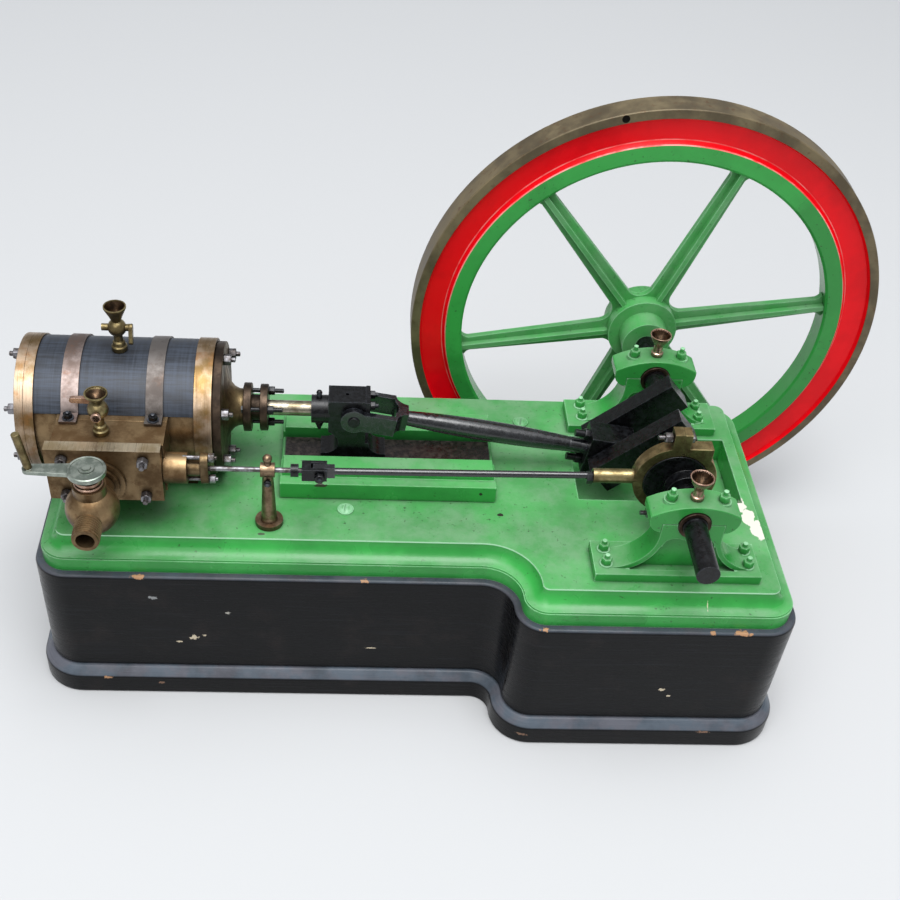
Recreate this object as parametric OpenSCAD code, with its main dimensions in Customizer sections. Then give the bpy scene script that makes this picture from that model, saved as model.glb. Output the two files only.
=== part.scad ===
// Model horizontal steam engine on a black wooden plinth.
// X runs along the engine from the cylinder to the crankshaft, Y away from the
// steam chest towards the flywheel, Z up. The origin is on the underside of the
// base board, below the crankshaft and on the cylinder's centre line.

/* [Shaft and flywheel] */
// Height of the shaft and cylinder centre line above the underside
shaft_height = 155; // [154:1:175]
// Diameter of the crankshaft
shaft_d = 12.7; // [10:0.1:14]
// Outer diameter of the flywheel
flywheel_d = 300; // [240:1:306]
// Width of the flywheel's rim
rim_w = 18; // [12:1:30]
// Depth of the rim, from the tread to the clear opening
rim_depth = 33; // [26:1:40]
// Diameter of the flywheel's centre disc
hub_disc_d = 44; // [36:1:60]
// Diameter of the flywheel's boss
boss_d = 30; // [24:1:34]
// Number of spokes
spokes = 6; // [4:1:8]
// Angle of the first spoke above the horizontal
spoke_angle = 9.5; // [0:0.5:59]
// Width of a spoke across the wheel
spoke_w = 11; // [7:0.5:14]

/* [Motion work] */
// Crank throw, half of the stroke
throw = 40; // [34:0.5:42]
// Angle of the crank below the line to the cylinder
crank_angle = 40.5; // [20:0.5:60]
// Length of the connecting rod between its centres
rod_length = 158; // [150:1:170]
// Diameter of the crank pin
crank_pin_d = 10; // [8:0.5:11]
// Radial room of the crank pin in the big end
pin_room = 0.75; // [0.75:0.05:1]
// Diameter of the journals in the bearings
journal_d = 13.4; // [12:0.1:15]
// Diameter of the shaft's turned end behind the flywheel
far_end_d = 10; // [6:0.5:10]
// Width of a crank web
web_w = 20; // [18:0.5:24]
// Thickness of a crank web
web_t = 11.5; // [8:0.5:13]
// Gap between the crank webs
web_gap = 21; // [20:0.5:26]
// Diameter of the crosshead pin
crosshead_pin_d = 7; // [5:0.5:8]
// Width of the crosshead block
crosshead_w = 16; // [14:0.5:18]
// Length of the crosshead's slipper
slipper_length = 38.6; // [34:0.2:40]
// Diameter of the piston rod
piston_rod_d = 9; // [7:0.5:10]

/* [Valve gear] */
// Throw of the eccentric
eccentric_throw = 6; // [4:0.5:7]
// Angle of the eccentric's throw, from the engine's free end over the top
eccentric_angle = 158; // [150:1:166]
// Diameter of the eccentric sheave
sheave_d = 36; // [32:0.5:38]
// Radial thickness of the eccentric strap
strap_t = 5.5; // [4:0.5:6]
// Distance of the valve gear from the centre line
valve_offset = 56; // [54:0.5:60]
// Distance of the valve rod's knuckle from the shaft
knuckle_x = 205; // [200:1:212]
// Diameter of the valve rod
valve_rod_d = 3; // [2:0.25:4]
// Diameter of the eccentric rod
eccentric_rod_d = 4; // [3:0.25:6]

/* [Cylinder] */
// Radial height of the cylinder's flanges above the bare barrel
flange_rise = 2.3; // [2.2:0.1:4]
// Bore of the cylinder
bore_d = 50; // [44:0.5:54]
// Distance from the shaft to the crank-end cover's face
cylinder_x = 261; // [259:1:267]
// Length of the cylinder over its covers
cylinder_length = 113.5; // [112:0.5:118]
// Diameter of the bare barrel below the lagging
barrel_d = 74.4; // [70:0.2:75]
// Thickness of the lagging sheet
lagging_t = 1.4; // [1:0.1:2]
// Thickness of the back flange
flange_t = 5.5; // [5:0.5:7]
// Thickness of the crank-end flange
front_flange_t = 10; // [6:0.5:11]
// Thickness of a cover
cover_t = 5; // [4:0.5:6]
// Diameter of the steam inlet's threaded stub
stub_d = 14; // [12:0.5:15]
// Bore of the steam inlet
inlet_bore_d = 10; // [7:0.5:11]

/* [Bed and plinth] */
// Length of the plinth's walls
plinth_length = 440; // [438:1:470]
// Distance from the shaft to the plinth's crank-end wall
plinth_end = 71; // [70:1:76]
// Distance from the centre line to the front wall beside the cylinder
front_narrow = 84; // [82:0.5:90]
// Distance from the centre line to the back wall
back_depth = 79.5; // [79:0.5:80.5]
// Radius of each arc of the front wall's double bend
bend_r = 17.8; // [16:0.2:20]
// Radius of the plinth's corners
corner_r = 20; // [17:0.5:24]
// Height of the base board
board_h = 18.6; // [14:0.2:22]
// Projection of the base board beyond the walls
board_out = 5.8; // [4:0.2:6.5]
// Thickness of the plinth's wooden walls
wall_t = 12; // [8:0.5:15]
// Width of the black rim around the bed plate
rim = 4.5; // [3:0.5:6]
// Height of the bed plate's upright edge
lip_h = 9; // [8:0.5:10]
// Height and width of the bed plate's hollow moulding
cove = 10.5; // [8:0.5:10.5]
// Thickness of the bed plate's metal
bed_skin = 6; // [4:0.5:8]

/* [Hidden] */
$fn = 64;
eps = 0.01;
run = 0.05;                      // running clearance of a pin in its hole
sh = shaft_height;
flange_d = barrel_d + 2 * flange_rise;
bed_z = sh - flange_d / 2 - 0.5; // top of the bed plate, just clear of the flanges
plinth_h = bed_z - lip_h - cove;

// plinth outline
px0 = plinth_end - plinth_length;
px1 = plinth_end;
front_wide = front_narrow + 2 * bend_r;
bend_x = -93;                    // where the front wall steps forward

// crank and rod
pin_x = -throw * cos(crank_angle);
pin_dz = -throw * sin(crank_angle);
rod_angle = asin(-pin_dz / rod_length);
eye_x = pin_x - rod_length * cos(rod_angle);
web_over = 12;                   // web beyond the shaft and pin centres
web_y = web_gap / 2 + web_t;     // outer face of a web

// eccentric
ecc_x = eccentric_throw * cos(eccentric_angle);
ecc_dz = eccentric_throw * sin(eccentric_angle);
ecc_rod_angle = atan2(ecc_dz, knuckle_x + ecc_x);
ecc_rod_length = sqrt(pow(knuckle_x + ecc_x, 2) + pow(ecc_dz, 2));
strap_w = 8;
strap_room = 0.15;

// bearings
near_y = -85.3;
far_y = 46.5;
bearing_w = 16.4;
bush_d = 18;
cap_half = 25.2;
cap_h = 12.6;
arch_r = 48;                     // of the cap's arched top
ear_r = 9;                       // the cap's rounded ends
ear_drop = 6.5;                  // how far they reach below the shaft
neck_half = 17.5;
sweep_r = 25;
foot_half = 47.3;
foot_x = -2.5;                   // middle of the foot
foot_w = 27;
foot_t = 6;
bush_out = 1.2;                  // projection of a bush from its bearing
shoulder = 1.1;                  // from a bush to the shaft's shoulder

near_end_y = -132;
near_shoulder_y = near_y - bearing_w / 2 - bush_out - shoulder;
far_shoulder_y = far_y + bearing_w / 2 + bush_out + shoulder;

// flywheel
wheel_y = 90;
rim_r = flywheel_d / 2;
boss_y = 75;
hub_end_y = wheel_y + rim_w + 8;

// crosshead and guide
guide_x0 = -rod_length - 71;
guide_x1 = -rod_length + 57;
slide_z = bed_z + 9;
slipper_t = 4;
guide_top = bed_z + 15;
ledge_z = bed_z + 11.5;
block_x0 = eye_x - 15;
block_x1 = eye_x + 7;
block_top = 11.3;
collar_d = 16.6;
collar_x0 = block_x0 - 10;

// cylinder stations, measured along X
cx1 = -cylinder_x;               // face of the crank-end cover
cx0 = cx1 - cylinder_length;     // face of the back cover
fl0 = cx0 + cover_t;             // outer face of the back flange
fl1 = cx1 - cover_t;             // outer face of the crank-end flange
chest_x0 = fl0 + 18.5;
chest_x1 = fl1 - 24;
chest_z0 = sh - 15;
chest_z1 = sh + 18;
chest_y0 = -barrel_d / 2 - 1.3;
chest_y1 = chest_y0 - 20;
chest_y2 = chest_y1 - 7.5;
boss_end = chest_x1 + 12;        // end of the valve rod's stuffing box
valve_x = chest_x0 + 25;
valve_z = sh - 3;
valve_y = chest_y2 - 21;
inlet_y = valve_y - 26;
lever_z = valve_z + 26;
gland_x = cx1 + 20;
cup_x = (fl0 + fl1) / 2 - 1.25;
chest_cup_x = chest_x0 + 26.5;
chest_cup_y = chest_y0 - 10.5;

// Shared shapes

// round bar along X
module bar_x(d, x0, x1, y = 0, z = 0)
  translate([x0, y, z]) rotate([0, 90, 0]) cylinder(d = d, h = x1 - x0);

// round bar along Y
module bar_y(d, y0, y1, x = 0, z = 0)
  translate([x, y1, z]) rotate([90, 0, 0]) cylinder(d = d, h = y1 - y0);

// plate drawn in X and Z, standing between y0 and y1
module plate_xz(y0, y1)
  translate([0, y1, 0]) rotate([90, 0, 0]) linear_extrude(y1 - y0) children();

// what is cut away outside a corner of radius r that points to sx, sy
module corner_cut(x, y, sx, sy, r)
  difference() {
    translate([x - (sx > 0 ? r : 1), y - (sy > 0 ? r : 1)]) square(r + 1);
    translate([x - sx * r, y - sy * r]) circle(r);
  }

// the plinth's outline, drawn in by g (or let out, where g is negative)
module outline(g) {
  r = max(corner_r - g, 1);
  v = max(bend_r - g, 1);
  c = bend_r + g;
  difference() {
    union() {
      translate([px0 + g, -front_narrow + g])
        square([plinth_length - 2 * g, front_narrow + back_depth - 2 * g]);
      translate([bend_x + g, -front_wide + g])
        square([px1 - bend_x - 2 * g, front_wide - front_narrow + 1]);
      translate([bend_x - bend_r, -front_narrow - bend_r]) difference() {
        square(c + 0.5);
        circle(c);
      }
    }
    corner_cut(px0 + g, -front_narrow + g, -1, -1, r);
    corner_cut(px0 + g, back_depth - g, -1, 1, r);
    corner_cut(px1 - g, back_depth - g, 1, 1, r);
    corner_cut(px1 - g, -front_wide + g, 1, -1, r);
    corner_cut(bend_x + g, -front_wide + g, -1, -1, v);
  }
}

// a moulding all round the plinth: the child is drawn with x outwards from the
// outline drawn in by g, and y up
module straight_run(x, y, a, len)
  translate([x, y, 0]) rotate([90, 0, a]) linear_extrude(len) children();
module turned_run(x, y, a, r)
  translate([x, y, 0]) rotate([0, 0, a]) rotate_extrude(angle = 90)
    translate([r, 0]) children();
module moulding(g) {
  r = corner_r - g;
  yn = -front_narrow;
  yw = -front_wide;
  yb = back_depth;
  xa = px0 + corner_r;
  xb = px1 - corner_r;
  straight_run(bend_x - bend_r, yn + g, -90, bend_x - bend_r - xa) children();
  straight_run(xb, yw + g, -90, xb - bend_x - bend_r) children();
  straight_run(px1 - g, yb - corner_r, 0, yb - yw - 2 * corner_r) children();
  straight_run(xa, yb - g, 90, xb - xa) children();
  straight_run(px0 + g, yn + corner_r, 180, yb - yn - 2 * corner_r) children();
  turned_run(xa, yn + corner_r, 180, r) children();
  turned_run(xb, yw + corner_r, 270, r) children();
  turned_run(xb, yb - corner_r, 0, r) children();
  turned_run(xa, yb - corner_r, 90, r) children();
  turned_run(bend_x + bend_r, yw + bend_r, 180, bend_r - g) children();
  turned_run(bend_x - bend_r, yn - bend_r, 0, bend_r + g)
    mirror([1, 0]) children();
}

// an oil cup with its ball, turned about Z, standing at z = 0
module oil_cup(ball_d, ball_z, h) {
  cup_r = 6.3;
  t = 0.7;
  neck_z = ball_z + ball_d / 2 - 0.6;
  waist_z = neck_z + 0.45 * (h - neck_z);
  rotate_extrude() difference() {
    union() {
      polygon([[0, 0], [4.4, 0], [4.4, 2.6], [3.7, 3.3], [3.4, 5.4], [2.6, 6.2],
               [2.4, ball_z], [0, ball_z]]);
      intersection() {
        translate([0, ball_z]) circle(d = ball_d);
        translate([0, ball_z - ball_d]) square(2 * ball_d);
      }
      polygon([[0, neck_z - 1], [2.6, neck_z - 1], [2.6, neck_z], [4.3, waist_z],
               [cup_r, h - 1], [cup_r, h], [0, h]]);
    }
    polygon([[0, neck_z + 1.6], [1.4, neck_z + 1.6], [4.3 - t, waist_z + 0.5],
             [cup_r - t, h - 0.6], [cup_r - t, h + 1], [0, h + 1]]);
  }
}

// Plinth and bed

module base_board() color([0.07, 0.07, 0.08]) {
  bevel = 5;
  linear_extrude(board_h - bevel) outline(-board_out);
  translate([0, 0, board_h - bevel]) {
    linear_extrude(bevel) outline(bevel - board_out);
    moulding(bevel - board_out)
      polygon([[-1, 0], [bevel, 0], [0, bevel], [-1, bevel]]);
  }
}

module plinth_walls() color([0.06, 0.06, 0.07])
  translate([0, 0, board_h]) linear_extrude(plinth_h - board_h) difference() {
    outline(0);
    outline(wall_t);
  }

// the pit below the cranks
pit_x = 50;
pit_y = 30;
pit_z = bed_z - 17;

bead = 0.8;                      // small step at the foot of the moulding
module bed_plate() color([0.22, 0.52, 0.27]) {
  top_g = rim + cove;
  difference() {
    union() {
      translate([0, 0, plinth_h]) linear_extrude(lip_h) outline(rim);
      translate([0, 0, plinth_h + lip_h]) {
        linear_extrude(cove) outline(top_g);
        moulding(top_g) difference() {
          translate([-1, 0]) square([cove + 1 - bead, cove]);
          translate([cove, cove]) circle(cove - bead);
        }
      }
    }
    difference() {
      translate([0, 0, plinth_h - 1])
        linear_extrude(bed_z - bed_skin - plinth_h + 1)
          outline(top_g + bed_skin);
      translate([-pit_x - 4, -pit_y - 4, plinth_h - 2])
        cube([2 * pit_x + 8, 2 * pit_y + 8, bed_z]);
    }
    translate([-pit_x, -pit_y, pit_z]) cube([2 * pit_x, 2 * pit_y, 40]);
  }
}

// The crosshead's guide

channel_half = 13;
plate_half = 11;

module slide_guide() color([0.20, 0.53, 0.25]) difference() {
  union() {
    translate([guide_x0, -35, bed_z])
      cube([guide_x1 - guide_x0, 70, ledge_z - bed_z]);
    translate([guide_x0 + 1.5, -28, ledge_z - 1])
      cube([guide_x1 - guide_x0 - 3, 56, guide_top - ledge_z + 1]);
  }
  translate([guide_x0 - 1, -channel_half, slide_z - 2])
    cube([guide_x1 - guide_x0 + 2, 2 * channel_half, 20]);
}

module slideway() color([0.20, 0.17, 0.16])
  translate([guide_x0 + 2, -plate_half, slide_z - 2])
    cube([guide_x1 - guide_x0 - 4, 2 * plate_half, 2]);

// The cylinder

foot_x0 = max(fl0 + 19.5, px0 + rim + cove + 3);
foot_x1 = fl1 - 12;
module cylinder_body() color([0.52, 0.42, 0.28]) difference() {
  union() {
    bar_x(barrel_d, fl0, fl1, 0, sh);
    bar_x(flange_d, fl0, fl0 + flange_t, 0, sh);
    bar_x(flange_d, fl1 - front_flange_t, fl1, 0, sh);
    // port block towards the steam chest
    translate([chest_x0, chest_y0, chest_z0 - 2])
      cube([chest_x1 - chest_x0, -chest_y0 - 10, chest_z1 - chest_z0 + 2]);
    // foot
    translate([foot_x0, -24, bed_z]) cube([foot_x1 - foot_x0, 48, 8]);
    translate([foot_x0 + 6, -16, bed_z]) cube([foot_x1 - foot_x0 - 12, 32, 20]);
  }
  bar_x(bore_d, fl0 - 1, fl1 + 1, 0, sh);
}

lag_z = chest_z1;                // front edge of the lagging, at the chest's top
module lagging() color([0.16, 0.18, 0.22]) difference() {
  bar_x(barrel_d + 2 * lagging_t, fl0 + flange_t, fl1 - front_flange_t, 0, sh);
  bar_x(barrel_d, fl0, fl1, 0, sh);
  translate([cx0, -50, sh - 50]) cube([cylinder_length, 50, lag_z - sh + 50]);
  translate([cx0, -1, sh - 50]) cube([cylinder_length, 51, 27]);
}

module lagging_band(x0, w) {
  d = barrel_d + 2 * lagging_t;
  edge_y = sqrt(pow(d / 2, 2) - pow(lag_z - sh, 2));
  difference() {
    bar_x(d + 2, x0, x0 + w, 0, sh);
    bar_x(d, x0 - 1, x0 + w + 1, 0, sh);
    translate([x0 - 1, -50, sh - 50]) cube([w + 2, 50, lag_z - sh + 50]);
    translate([x0 - 1, -1, sh - 50]) cube([w + 2, 51, 28]);
  }
  // turned-out end with its screw lug
  translate([x0, -edge_y - 8.5, lag_z]) cube([w, 8.2, 1.6]);
}
band_w = 9.5;
band_in = 15.3;                  // first band from the back flange
band_gap = 37;
band_x = fl0 + flange_t + band_in;
module lagging_band_left() color([0.42, 0.34, 0.25]) lagging_band(band_x, band_w);
module lagging_band_right() color([0.42, 0.34, 0.25])
  lagging_band(band_x + band_w + band_gap, band_w);

module back_cover() color([0.55, 0.43, 0.27]) {
  difference() {
    bar_x(flange_d, cx0, fl0, 0, sh);
    bar_x(flange_d - 24, cx0 - 1, cx0 + 1.2, 0, sh);
  }
  bar_x(bore_d - 0.4, fl0 - eps, fl0 + 3, 0, sh);
}

boss_x = cx1 + 10.4;
box_x = cx1 + 15;
cover_step = 1.8;                // the crank-end cover is smaller than its flange
module front_cover() color([0.36, 0.29, 0.20]) difference() {
  union() {
    bar_x(flange_d - 2 * cover_step, fl1, cx1, 0, sh);
    bar_x(bore_d - 0.4, fl1 - 3, fl1 + eps, 0, sh);
    bar_x(21.5, cx1 - eps, boss_x + eps, 0, sh);
    bar_x(28.5, boss_x, box_x, 0, sh);
  }
  bar_x(piston_rod_d + 2 * run, fl1 - 4, box_x + 1, 0, sh);
  bar_x(15, cx1 - 2, box_x + 1, 0, sh);
}

module piston_gland() color([0.40, 0.33, 0.24]) difference() {
  union() {
    bar_x(15 - 2 * run, cx1 + 3, gland_x + 1, 0, sh);
    bar_x(27.4, gland_x, gland_x + 4.5, 0, sh);
  }
  bar_x(piston_rod_d + 2 * run, cx1 - 1, gland_x + 6, 0, sh);
}

// The steam chest and the stop valve

module steam_chest() color([0.48, 0.38, 0.24]) difference() {
  union() {
    translate([chest_x0, chest_y1, chest_z0])
      cube([chest_x1 - chest_x0, chest_y0 - chest_y1, chest_z1 - chest_z0]);
    bar_x(17.6, chest_x1 - 1, boss_end, -valve_offset, sh);
  }
  translate([chest_x0 + 6, chest_y1 - 1, chest_z0 + 6])
    cube([chest_x1 - chest_x0 - 12, 14, chest_z1 - chest_z0 - 12]);
  bar_x(valve_rod_d + 2 * run, chest_x1 - 8, boss_end + 8, -valve_offset, sh);
  bar_x(9, boss_end - 10, boss_end + 8, -valve_offset, sh);
}

module chest_cover() color([0.55, 0.44, 0.28]) {
  translate([chest_x0 - 2.5, chest_y2, chest_z0 - 1])
    cube([chest_x1 - chest_x0 + 1.5, chest_y1 - chest_y2,
          chest_z1 - chest_z0 + 2]);
  bar_y(30, chest_y2 - 2, chest_y2 + eps, valve_x, valve_z);
  bar_y(24, chest_y2 - 4, chest_y2 - 2 + eps, valve_x, valve_z);
}

module valve_gland() color([0.52, 0.42, 0.27]) difference() {
  union() {
    bar_x(9 - 2 * run, boss_end - 7, boss_end + 8, -valve_offset, sh);
    hull() for (s = [-1, 1])
      bar_x(9, boss_end + 7, boss_end + 11.5, -valve_offset, sh + 5.5 * s);
  }
  bar_x(valve_rod_d + 2 * run, boss_end - 20, boss_end + 20, -valve_offset, sh);
}

module stop_valve_body() color([0.52, 0.43, 0.28]) difference() {
  union() {
    bar_y(19, valve_y - 6, chest_y2 - 4, valve_x, valve_z);
    translate([valve_x, valve_y, valve_z]) sphere(d = 29);
    translate([valve_x, valve_y, valve_z + 8]) cylinder(d = 18, h = 9);
    translate([valve_x, valve_y, valve_z + 17]) cylinder(d = 13.5, h = 4);
    bar_y(stub_d, inlet_y, valve_y, valve_x, valve_z);
    bar_y(stub_d + 1.6, inlet_y + 16, valve_y, valve_x, valve_z);
  }
  bar_y(inlet_bore_d, inlet_y - 1, valve_y, valve_x, valve_z);
  translate([valve_x, valve_y, valve_z]) cylinder(d = 5 + 2 * run, h = 30);
}

module stop_valve_lever() color([0.42, 0.46, 0.42]) {
  translate([valve_x, valve_y, valve_z + 6]) cylinder(d = 5, h = 19);
  translate([valve_x, valve_y, lever_z - 5 + 0.3])
    cylinder(d = 9, h = 3.7 + eps);
  translate([valve_x, valve_y, lever_z - 1]) cylinder(d = 20.6, h = 2.4);
  hull() {
    translate([valve_x - 6, valve_y, lever_z - 1]) cylinder(d = 9, h = 2.4);
    translate([valve_x - 30, valve_y, lever_z - 1]) cylinder(d = 6.5, h = 2.4);
  }
  translate([valve_x - 30, valve_y, lever_z + 1]) rotate([0, -8, 0])
    cylinder(d = 4.4, h = 23);
}

// The oil cups

plug_d = 4;
tap_z = 14.6;                    // a ball's centre above the foot of its cup
chest_tap_z = 16;
module cylinder_cup_place()
  translate([cup_x, 0, sh + barrel_d / 2 + lagging_t + 0.05]) children();
module cylinder_oil_cup() color([0.50, 0.43, 0.26]) cylinder_cup_place()
  difference() {
    oil_cup(10.4, tap_z, 28.5);
    bar_x(plug_d + 2 * run, -8, 8, 0, tap_z);
  }
module cylinder_oil_tap() color([0.45, 0.36, 0.22]) cylinder_cup_place() {
  bar_x(plug_d, -8.5, 8.5, 0, tap_z);
  hull() {
    bar_x(plug_d + 0.4, 6.4, 8.6, 0, tap_z);
    bar_x(3.4, 6.4, 8.6, -3.5, tap_z - 7);
  }
}
module chest_cup_place() translate([chest_cup_x, chest_cup_y, chest_z1]) children();
module chest_oil_cup() color([0.50, 0.43, 0.26]) chest_cup_place() difference() {
  oil_cup(11.5, chest_tap_z, 27);
  bar_y(plug_d + 2 * run, -8, 8, 0, chest_tap_z);
}
// its plug lies across the engine, with the lever behind the cup
module chest_oil_tap() color([0.62, 0.40, 0.26]) chest_cup_place() {
  bar_y(plug_d, -8.5, 8.2, 0, chest_tap_z);
  hull() {
    bar_y(plug_d + 0.4, 6.8, 9.2, 0, chest_tap_z);
    bar_y(3.2, 6.8, 9.2, -15, chest_tap_z);
  }
}

// Crosshead, rod and cranks

piston_x = (fl0 + fl1) / 2 + eye_x + rod_length;
module piston_rod() color([0.60, 0.52, 0.36]) {
  bar_x(piston_rod_d, piston_x, collar_x0 + 8, 0, sh);
  bar_x(bore_d - 2 * run, piston_x - 6, piston_x + 6, 0, sh);
}

module crosshead() color([0.08, 0.08, 0.09]) {
  hw = crosshead_w / 2;
  foot_z = slide_z - sh;
  difference() {
    union() {
      translate([0, 0, sh]) plate_xz(-hw, hw) difference() {
        union() {
          translate([block_x0, -14]) square([block_x1 - block_x0, 14 + block_top]);
          translate([eye_x - slipper_length / 2, foot_z])
            square([slipper_length, slipper_t]);
          translate([eye_x - 17, foot_z + slipper_t - 1]) square([34, 16]);
        }
        // the neck's hollow sides
        for (s = [-1, 1])
          translate([eye_x + s * 17, foot_z + slipper_t + 8]) circle(8);
        translate([block_x0 - 12, foot_z + slipper_t + 8])
          square([12, 30]);
        translate([block_x1, foot_z + slipper_t + 8]) square([12, 30]);
      }
      bar_x(collar_d, collar_x0, block_x0 + 1, 0, sh);
    }
    bar_y(crosshead_pin_d, -hw - 1, hw + 1, eye_x, sh);
    bar_x(piston_rod_d, collar_x0 - 1, collar_x0 + 8, 0, sh);
    translate([eye_x - 4, 0, sh + block_top - 4]) cylinder(d = 2.2, h = 5);
  }
}

module crosshead_pin() color([0.12, 0.12, 0.13]) {
  bar_y(crosshead_pin_d, -crosshead_w / 2 - 5.2, crosshead_w / 2 + 5.2, eye_x, sh);
}

// the connecting rod in its own frame: x along the rod from the crosshead pin
eye_r = 7.7;
arm_y0 = crosshead_w / 2 + 0.4;
arm_t = 3.8;
fork_x = 24;
fork_end = 32;
shank_end = rod_length - 24;
shank_r = 6.3;
belly_r = 700;
head_x0 = rod_length - 15;
head_x1 = rod_length + 13;
head_half = 13;
head_w = web_gap / 2 - 1.5;

module rod_frame()
  translate([eye_x, 0, sh]) rotate([0, rod_angle, 0]) children();

module connecting_rod() color([0.10, 0.10, 0.12]) rod_frame() {
  difference() {
    union() {
      for (s = [-1, 1]) {
        bar_y(2 * eye_r, s > 0 ? arm_y0 : -arm_y0 - arm_t,
              s > 0 ? arm_y0 + arm_t : -arm_y0);
        translate([0, s > 0 ? arm_y0 : -arm_y0 - arm_t, -6])
          cube([fork_x + 2, arm_t, 12]);
      }
      translate([fork_x, -arm_y0 - arm_t, -6])
        cube([fork_end - fork_x, 2 * (arm_y0 + arm_t), 12]);
    }
    bar_y(crosshead_pin_d + 2 * run, -20, 20);
    // rounded throat and shoulders
    translate([fork_x - arm_y0 + 2, 0, -10]) cylinder(r = arm_y0, h = 20);
    for (s = [-1, 1]) translate([fork_end, s * (arm_y0 + arm_t), -10])
      cylinder(r = 7.4, h = 20);
  }
  // fish-bellied shank, fullest towards the crank
  rotate([0, 90, 0]) rotate_extrude($fn = 128) intersection() {
    translate([0, fork_end - 4]) square([20, shank_end - fork_end + 4]);
    translate([shank_r - belly_r, 0.53 * rod_length]) circle(belly_r, $fn = 1440);
  }
  bar_x(9.4, shank_end - 1, head_x0);
}

module big_end() color([0.09, 0.09, 0.10]) rod_frame() {
  difference() {
    union() {
      translate([head_x0, -head_w, -head_half])
        cube([head_x1 - head_x0, 2 * head_w, 2 * head_half]);
      for (s = [-1, 1]) bar_x(4.6, head_x0 - 9, head_x1 + 5, 0, 9.3 * s);
    }
    bar_y(crank_pin_d + 2 * pin_room, -20, 20, rod_length, 0);
  }
}

module crank_frame()
  translate([0, 0, sh]) rotate([0, 180 - crank_angle, 0]) children();

module crankshaft() color([0.09, 0.09, 0.10]) {
  crank_frame() for (y = [-web_y, web_gap / 2])
    plate_xz(y, y + web_t)
      translate([-web_over, -web_w / 2]) square([throw + 2 * web_over - 2, web_w]);
  bar_y(shaft_d, near_end_y, near_shoulder_y, 0, sh);
  bar_y(journal_d, near_shoulder_y, -web_y + 1, 0, sh);
  bar_y(journal_d, web_y - 1, far_shoulder_y, 0, sh);
  bar_y(shaft_d, far_shoulder_y, hub_end_y, 0, sh);
  bar_y(far_end_d, hub_end_y, hub_end_y + 8, 0, sh);
  bar_y(crank_pin_d, -web_gap / 2 - 1, web_gap / 2 + 1, pin_x, sh + pin_dz);
}

// The flywheel

module spoke() {
  r0 = hub_disc_d / 2 - 6;
  r1 = rim_r - rim_depth + 3;
  mid = wheel_y + rim_w / 2;
  w0 = spoke_w / 2 + 1.6;          // half widths at the hub and at the rim
  w1 = spoke_w / 2 - 0.8;
  plate_xz(mid - web_h, mid + web_h) {
    polygon([[r0, -w0], [r1, -w1], [r1, w1], [r0, w0]]);
    // fillets at the rim
    difference() {
      translate([r1 - 3 - rim_fillet, -w1 - rim_fillet])
        square([rim_fillet + 2, 2 * (w1 + rim_fillet)]);
      for (s = [-1, 1]) translate([r1 - 3 - rim_fillet, s * (w1 + rim_fillet)])
        circle(rim_fillet, $fn = 32);
    }
  }
  translate([r0, mid - 6, -1.6]) cube([r1 - r0, 12, 3.2]);
}

// web around the hub, hollowed between the spokes
module hub_web() {
  w0 = spoke_w / 2 + 1.3;
  d = (hub_fillet + w0) / sin(180 / spokes);
  mid = wheel_y + rim_w / 2;
  plate_xz(mid - web_h, mid + web_h) difference() {
    circle(d * cos(180 / spokes));
    for (i = [0 : spokes - 1]) rotate(spoke_angle + (i + 0.5) * 360 / spokes)
      translate([d, 0]) circle(hub_fillet, $fn = 48);
  }
}
web_h = 2;                       // half the thickness of the spokes' web
rim_fillet = 6;
hub_fillet = 9;

module flywheel() color([0.20, 0.50, 0.24]) translate([0, 0, sh]) difference() {
  y0 = wheel_y;
  y1 = wheel_y + rim_w;
  union() {
    // rim: flat tread, sunk red panel on each face, bevel and inner ring
    rotate([-90, 0, 0]) rotate_extrude($fn = 160) polygon([
      [rim_r - rim_depth, y0 + 2], [rim_r - rim_depth + 1.5, y0 + 1],
      [rim_r - rim_depth + 10.6, y0 + 1], [rim_r - 20, y0 + 4.5],
      [rim_r - 6.8, y0 + 3], [rim_r - 5.6, y0],
      [rim_r - 0.6, y0], [rim_r, y0 + 0.6], [rim_r, y1 - 0.6],
      [rim_r - 0.6, y1], [rim_r - 5.6, y1], [rim_r - 6.8, y1 - 3],
      [rim_r - 20, y1 - 4.5], [rim_r - rim_depth + 10.6, y1 - 1],
      [rim_r - rim_depth + 1.5, y1 - 1], [rim_r - rim_depth, y1 - 2]]);
    for (i = [0 : spokes - 1])
      rotate([0, -spoke_angle - i * 360 / spokes, 0]) spoke();
    hub_web();
    bar_y(hub_disc_d, y0 - 1, y1 + 1);
    bar_y(boss_d, boss_y, hub_end_y);
  }
  bar_y(shaft_d, 0, 200);
}

// The eccentric and its rods

module eccentric_sheave() color([0.07, 0.07, 0.08]) difference() {
  union() {
    bar_y(sheave_d, -valve_offset - strap_w / 2 - 0.5,
          -valve_offset + strap_w / 2 + 0.5, ecc_x, sh + ecc_dz);
    bar_y(22, -valve_offset - strap_w / 2 - 7, -valve_offset, 0, sh);
  }
  bar_y(journal_d, -100, 0, 0, sh);
}

module ecc_frame()
  translate([ecc_x, -valve_offset, sh + ecc_dz])
    rotate([0, -ecc_rod_angle, 0]) children();

strap_r = sheave_d / 2 + strap_t;
module strap_lugs(x0, x1)
  for (s = [-1, 1]) translate([x0, -strap_w / 2, s > 0 ? strap_r - 2 : -strap_r - lug_h])
    cube([x1 - x0, strap_w, lug_h + 2]);
lug_h = 9.3;                     // of a lug above the strap

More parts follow.
